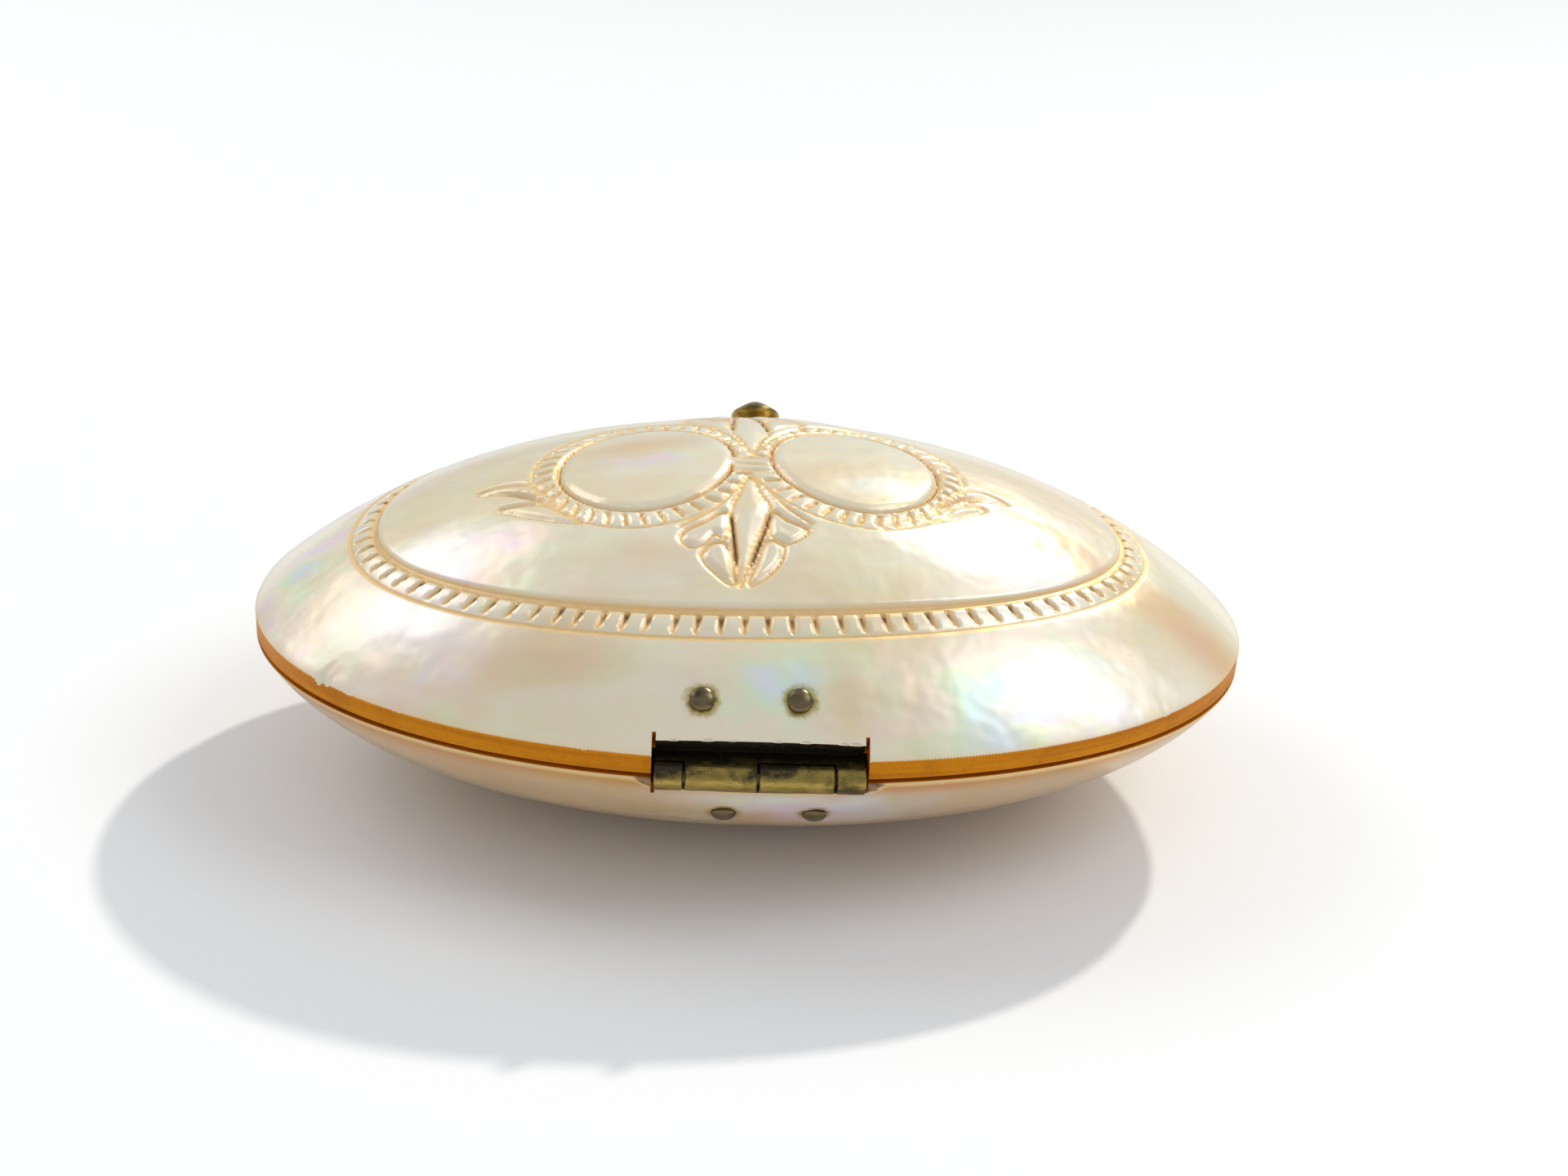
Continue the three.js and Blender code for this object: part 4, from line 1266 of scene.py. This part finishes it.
def black_grime():
    """Painted shade in the gap over the hinge, with what old polish and dust leave there."""
    r = Recipe("black_grime")
    lumps = r.noise(3.0, 4.0, 0.65)
    tones = ((0.4, (0.008, 0.006, 0.004)), (0.62, (0.03, 0.02, 0.008)), (0.75, (0.12, 0.06, 0.012)))
    body = r.ramp(lumps, tones)
    r.set(Base_Color=body, Roughness=0.6, Specular_IOR_Level=0.3, Normal=r.bump(lumps, 0.5, 0.08))
    return r.material


def rivet_places(*kinds):
    return [(x, place.y, place.z) for name, (_, x, place) in RIVETS.items() if name.startswith(kinds)]


lid_pearl_look = pearl("pearl_lid", 0.0, 0.06, rivet_places("lid_hinge", "catch"))
base_pearl_look = pearl("pearl_base", 0.5, 0.0, rivet_places("base_hinge", "keeper"))
amber_look = amber_edge("amber_cut_edge", 0.12)
BRASS = ((0.42, 0.30, 0.08), (0.22, 0.155, 0.04), (0.03, 0.022, 0.008))  # bright, worn and dark
BRONZE = ((0.20, 0.15, 0.08), (0.13, 0.10, 0.055), (0.025, 0.02, 0.012))
brass_look = old_metal("aged_brass", *BRASS, 0.62, 0.95, 0.2)
grime_look = black_grime()
bronze_look = old_metal("dark_bronze", *BRONZE, 0.6, 0.9, 0.14)


# ---- the colour zones of the shells ----


def patch(x, y, centre, radii, degrees=0.0):
    """1 at the centre of an ellipse, falling to 0 at its edge."""
    return 1 - smooth(0, 1, np.hypot(*within_ellipse(x, y, centre, radii, degrees)))


# each patch: strength, centre, radii and turn in degrees
TAN_PATCHES = (
    (1.0, (31, -9.2), (14, 4.4), -10),
    (0.8, (19.5, -6.4), (12, 2.8), -14),
    (0.4, (20, 2.0), (11, 9), 0),
    (0.35, (-20, 3.5), (9, 3.5), 0),
    (0.6, (-13.5, -18.6), (8, 3.6), -8),
    (0.35, (-8, -12.5), (6, 2.6), -8),
    (0.6, (-7.6, 0.4), (6.5, 2.8), 4),
    (0.35, (5, -3.8), (6, 2.2), 28),
    (0.3, (0, 8), (14, 6), 0),
)
# painted highlights on the lid: its glare and bright lustre zones
LIGHT_PATCHES = (
    (0.95, (15, -11.0), (11, 3.4), -4),
    (0.8, (-22.5, -8.6), (6, 3.6), 0),
    (0.9, (-22, -14.5), (8, 3.4), -30),
    (0.6, (8, -5.2), (4.6, 2.0), 10),
    (0.7, (18, -18.5), (12, 4), 18),
    (0.6, (-33, -1.5), (3, 4), 0),
)
PLAY_PATCHES = (
    (0.8, (-17, -11.5), (11, 5), -12),
    (0.5, (-22, -18), (10, 5), -32),
    (0.8, (15, -20), (16, 5), 20),
    (0.8, (1, -21), (10, 4), 0),
    (0.6, (-8, -2.2), (6, 1.8), 4),
)
HUE_PATCHES = (
    (0.32, (2, -21.5), (10, 4.5), 0),
    (0.58, (20, -20), (13, 6), 20),
    (0.66, (-8, -2.2), (7, 2.2), 0),
    (0.22, (-31, -5), (5, 5), 0),
)
LID_HUE = 0.14


def strongest(x, y, patches):
    return np.maximum.reduce([strength * patch(x, y, *where) for strength, *where in patches])


def lid_zones(x, y):
    """How tan, how much painted highlight and how colourful the lid is, and the hue of that colour on the
    PLAY ramp.
    """
    tip_play = 0.9 * smooth(-25, -31, x)
    play = np.maximum(tip_play, strongest(x, y, PLAY_PATCHES))
    hue = LID_HUE
    for shift, *where in HUE_PATCHES:
        hue = hue + shift * patch(x, y, *where)
    return strongest(x, y, TAN_PATCHES), strongest(x, y, LIGHT_PATCHES), play, hue + 1.0


def set_attributes(mesh, **values_by_name):
    for name, values in values_by_name.items():
        layer = mesh.attributes.new(name, "FLOAT", "POINT")
        layer.data.foreach_set("value", np.asarray(values, np.float32))


def vertex_places(mesh):
    places = np.empty(len(mesh.vertices) * 3)
    mesh.vertices.foreach_get("co", places)
    return places.reshape(-1, 3) / MM


def face_places(mesh):
    centres = np.empty(len(mesh.polygons) * 3)
    normals = np.empty(len(mesh.polygons) * 3)
    mesh.polygons.foreach_get("center", centres)
    mesh.polygons.foreach_get("normal", normals)
    return centres.reshape(-1, 3) / MM, normals.reshape(-1, 3)


def barrel_grime(x, y, z):
    """Darkening close round the hinge's barrel."""
    over = np.maximum(np.maximum(x - NOTCH[1], NOTCH[0] - x), 0)
    distance = np.sqrt(over**2 + (y - HINGE_Y) ** 2 + (z - HINGE_Z) ** 2)
    return 0.9 * (1 - smooth(0.93, 1.12, distance))


def finish_lid(made):
    mesh = made.data
    x, y, z = vertex_places(mesh).T
    outer = z > lid_top(x, y) - 0.75
    _, dirt = carving(x, y)
    tan, light, play, hue = lid_zones(x, y)
    edge_chips = smooth(0.985, 1.0, oval_radius(x, y)) * 0.2
    on_top = np.clip(np.maximum.reduce([dirt, barrel_grime(x, y, z), edge_chips]), 0, 1)
    set_attributes(
        mesh,
        dirt=np.where(outer, on_top, 0),
        # painted glow: a quarter of the amber glow inside the lid
        glow=np.where(outer, 0, 0.25),
        tan=np.where(outer, tan, 0.25),
        light=np.where(outer, light, 0),
        play=np.where(outer, play, 0.6),
        hue=hue,
    )
    paint_cut_faces(mesh, lid_pearl_look)
    smooth_shading(made, 38)


def finish_base(made):
    mesh = made.data
    x, y, z = vertex_places(mesh).T
    outer = z < base_under(x, y) + 0.3
    seam_line = 0.4 * (1 - smooth(0.1, 0.6, BASE_TOP_Z - z)) * outer
    hinge_side = y < 0
    pit = 0.9 * patch(x, z, (29.5, 7.6), (1.1, 0.8)) * hinge_side
    set_attributes(
        mesh,
        dirt=np.maximum.reduce([barrel_grime(x, y, z), seam_line, pit]),
        tan=0.55 - 0.3 * patch(x, z, (0, 9.2), (12, 3)) * hinge_side,
        # painted shade over the whole base, which lies in shade
        shade=np.full(len(x), 0.55),
        # painted glow: amber along the top of the base, where light shines through
        glow=0.85 * (1 - smooth(0.0, 1.5, BASE_TOP_Z - z)) * outer,
        # painted highlight: a pale patch on the base just under the barrel
        light=0.55 * patch(x, z, (0, 9.2), (10, 2.2)) * hinge_side,
        play=0.08 + 0.6 * patch(x, z, (3, 8.0), (13, 3.6)),
        hue=1.58 + 0.02 * x,
    )
    paint_cut_faces(mesh, base_pearl_look)
    smooth_shading(made, 38)


def paint_cut_faces(mesh, polished):
    """Polished inside and out; amber where the shell is sawn: seam, upright edge, notches and holes, the
    amber partly painted glow of light through the shell.
    """
    mesh.materials.clear()
    mesh.materials.append(polished)
    mesh.materials.append(amber_look)
    mesh.materials.append(grime_look)
    centres, normals = face_places(mesh)
    x, y, z = centres.T
    radius = oval_radius(x, y)
    if mesh.name.startswith("lid"):
        wall = lid_top
        on_outer = (z > lid_top(x, y) - 0.8) & (radius < 0.9992)
    else:
        wall = base_under
        on_outer = (z < base_under(x, y) + 0.3) | (z < 0.01)
    nudge = 0.05
    slope_x = (wall(x + nudge, y) - wall(x - nudge, y)) / (2 * nudge)
    slope_y = (wall(x, y + nudge) - wall(x, y - nudge)) / (2 * nudge)
    along = np.abs(normals[:, 2] - slope_x * normals[:, 0] - slope_y * normals[:, 1])
    facing = along / np.sqrt(1 + slope_x**2 + slope_y**2)
    inner_radius = oval_radius(x, y, HALF_LENGTH - WALL, HALF_WIDTH - WALL)
    on_inner = ~on_outer & (inner_radius < 1.0)
    seam = (np.abs(normals[:, 2]) > 0.95) & (np.abs(z - SEAM) < 0.3)
    polished_faces = ((on_outer & (facing > 0.35)) | (on_inner & (facing > 0.6))) & ~seam
    in_notch = (x > NOTCH[0] + 0.01) & (x < NOTCH[1] - 0.01) & (np.abs(normals[:, 0]) < 0.5)
    clear_of_nicks = (x > NOTCH[0] + NICK_WIDTH + 0.02) & (x < NOTCH[1] - NICK_WIDTH - 0.02)
    over_hinge = in_notch & clear_of_nicks & (np.hypot(y - HINGE_Y, z - HINGE_Z) < 3.4) & (z > SEAM + 0.3)
    # faces in the notch over the hinge are near black: grime and painted shade
    look = np.where(polished_faces, 0, np.where(over_hinge, 2, 1))
    mesh.polygons.foreach_set("material_index", look.astype(np.int32))


def blacken_leaf(made):
    """The leaves are black where hidden, as tarnish and painted shade; the knuckle ends get painted shade of
    the gaps, and the barrel is darker on top.
    """
    x, y, z = vertex_places(made.data).T
    hidden = smooth(0.86, 1.0, np.hypot(y - HINGE_Y, z - HINGE_Z))
    ends = np.max([bump(x - end, 0.14) for end in KNUCKLE_ENDS[1:4]], axis=0)
    on_top = 0.4 * smooth(-0.1, 0.6, z - HINGE_Z)
    set_attributes(made.data, dirt=np.maximum.reduce([hidden, ends, on_top]))


# ---- put the pieces in place ----


def show(made, look, body, node):
    if look is not None:
        made.data.materials.clear()
        made.data.materials.append(look)
        smooth_shading(made)
    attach(made, body)
    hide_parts(node)


for build, finish, body in ((lid_piece, finish_lid, "lid"), (base_piece, finish_base, "base")):
    made = build()
    finish(made)
    show(made, None, body, f"{body}_shell")

LEAF_RISE = KNUCKLE_RADIUS - LEAF / 2
for body, slope, depth, rise, own, other in (
    ("lid", LID_LEAF_SLOPE, LID_LEAF_DEPTH, LEAF_RISE, (1, 3), (0, 2)),
    ("base", BASE_LEAF_SLOPE, BASE_LEAF_DEPTH, -LEAF_RISE, (0, 2), (1, 3)),
):
    made = hinge_leaf(f"{body}_leaf", slope, depth, rise, own, other, f"{body}_hinge_rivet")
    blacken_leaf(made)
    show(made, brass_look, body, f"{body}_hinge_leaf")

pin = bar_along_x(0.4, KNUCKLE_ENDS[0] + 0.07, KNUCKLE_ENDS[4] - 0.07, 0.08)
pin.name = "barrel_pin"
show(pin, bronze_look, "base", "hinge_pin")

BACKING = {
    "lid_hinge_rivet": (LID_LEAF_SLOPE, LID_LEAF_DEPTH - LEAF / 2),
    "base_hinge_rivet": (BASE_LEAF_SLOPE, BASE_LEAF_DEPTH + LEAF / 2),
    "catch_rivet": (CATCH_SLOPE, CATCH_DEPTH - LEAF / 2),
    "keeper_rivet": (KEEPER_SLOPE, -FIT - LEAF),
}
for node, (body, x, place) in RIVETS.items():
    plane, plane_depth = BACKING[node.rsplit("_", 1)[0]]
    made = rivet(f"{node}_head", x, place, depth_under(place, plane, plane_depth))
    show(made, bronze_look, body, node)

for build, name, body, node in (
    (knob, "knob_turned", "catch", "catch_knob"),
    (knob_burr, "knob_washer", "catch", "knob_burr"),
    (catch_spring, "catch_tongue", "catch", "catch_spring"),
    (escutcheon, "escutcheon_ring", "lid", "knob_escutcheon"),
    (catch_plate, "catch_plate_brass", "lid", "catch_plate"),
    (keeper_plate, "keeper_brass", "base", "keeper_plate"),
):
    made = build()
    made.name = name
    show(made, brass_look, body, node)


# ---- floor, light and camera ----


def make_floor():
    half = 3000.0
    corners = [(-half, -half, 0), (half, -half, 0), (half, half, 0), (-half, half, 0)]
    floor = make_object("floor", corners, [(0, 1, 2, 3)])
    r = Recipe("pale_floor")
    r.set(Base_Color=(0.90, 0.90, 0.895, 1), Roughness=0.75)
    floor.data.materials.append(r.material)


def direction(azimuth, elevation):
    """Towards a point seen at these angles: azimuth from +Y towards +X."""
    a = math.radians(azimuth)
    e = math.radians(elevation)
    return Vector((math.sin(a) * math.cos(e), math.cos(a) * math.cos(e), math.sin(e)))


def make_lights():
    world = bpy.data.worlds.new("studio")
    bpy.context.scene.world = world
    world.use_nodes = True
    background = world.node_tree.nodes["Background"]
    background.inputs["Color"].default_value = (0.95, 0.99, 1.04, 1)
    background.inputs["Strength"].default_value = 0.58
    sun = bpy.data.lights.new("window_sun", "SUN")
    sun.energy = 1.6
    sun.color = (1.0, 0.97, 0.90)
    sun.angle = math.radians(2.5)
    lamp = bpy.data.objects.new("window_sun", sun)
    bpy.context.scene.collection.objects.link(lamp)
    lamp.rotation_euler = direction(32.0, 38.0).to_track_quat("Z", "Y").to_euler()
    make_panel("left_panel", direction(-58.0, 40.0), 0.85)
    make_panel("right_panel", direction(98.0, 50.0), 1.0)


def make_panel(name, towards, power):
    panel = bpy.data.lights.new(name, "AREA")
    panel.energy = power
    panel.size = 0.38
    panel.color = (0.97, 0.99, 1.0)
    lamp = bpy.data.objects.new(name, panel)
    bpy.context.scene.collection.objects.link(lamp)
    lamp.location = towards * 0.7
    lamp.rotation_euler = towards.to_track_quat("Z", "Y").to_euler()


CAMERA_AZIMUTH = -2.672
CAMERA_ELEVATION = 23.865
CAMERA_ROLL = 2.909
CAMERA_DISTANCE = 139.6  # from the middle of the lid's upper edge
CAMERA_LENS = 44.3
AIM_RIGHT = 2.26
AIM_UP = 0.71


def make_camera():
    middle = Vector((0, 0, LID_EDGE_Z))
    back = direction(180 - CAMERA_AZIMUTH, CAMERA_ELEVATION)
    right = Vector((0, 0, 1)).cross(back).normalized()
    up = back.cross(right)
    roll = math.radians(CAMERA_ROLL)
    tilted_right = right * math.cos(roll) + up * math.sin(roll)
    tilted_up = back.cross(tilted_right)
    place = middle + back * CAMERA_DISTANCE
    aim = middle + tilted_right * AIM_RIGHT + tilted_up * AIM_UP
    back = (place - aim).normalized()
    tilted_right = (tilted_right - back * tilted_right.dot(back)).normalized()
    tilted_up = back.cross(tilted_right)
    camera = bpy.data.cameras.new("camera")
    camera.lens = CAMERA_LENS
    camera.sensor_width = 36.0
    camera.clip_start = 0.005
    camera.clip_end = 20.0
    holder = bpy.data.objects.new("camera", camera)
    bpy.context.scene.collection.objects.link(holder)
    turn = Matrix((tilted_right, tilted_up, back)).transposed().to_4x4()
    holder.matrix_world = Matrix.Translation(place * MM) @ turn
    bpy.context.scene.camera = holder


make_floor()
make_lights()
make_camera()
bpy.context.scene.view_settings.view_transform = "Standard"
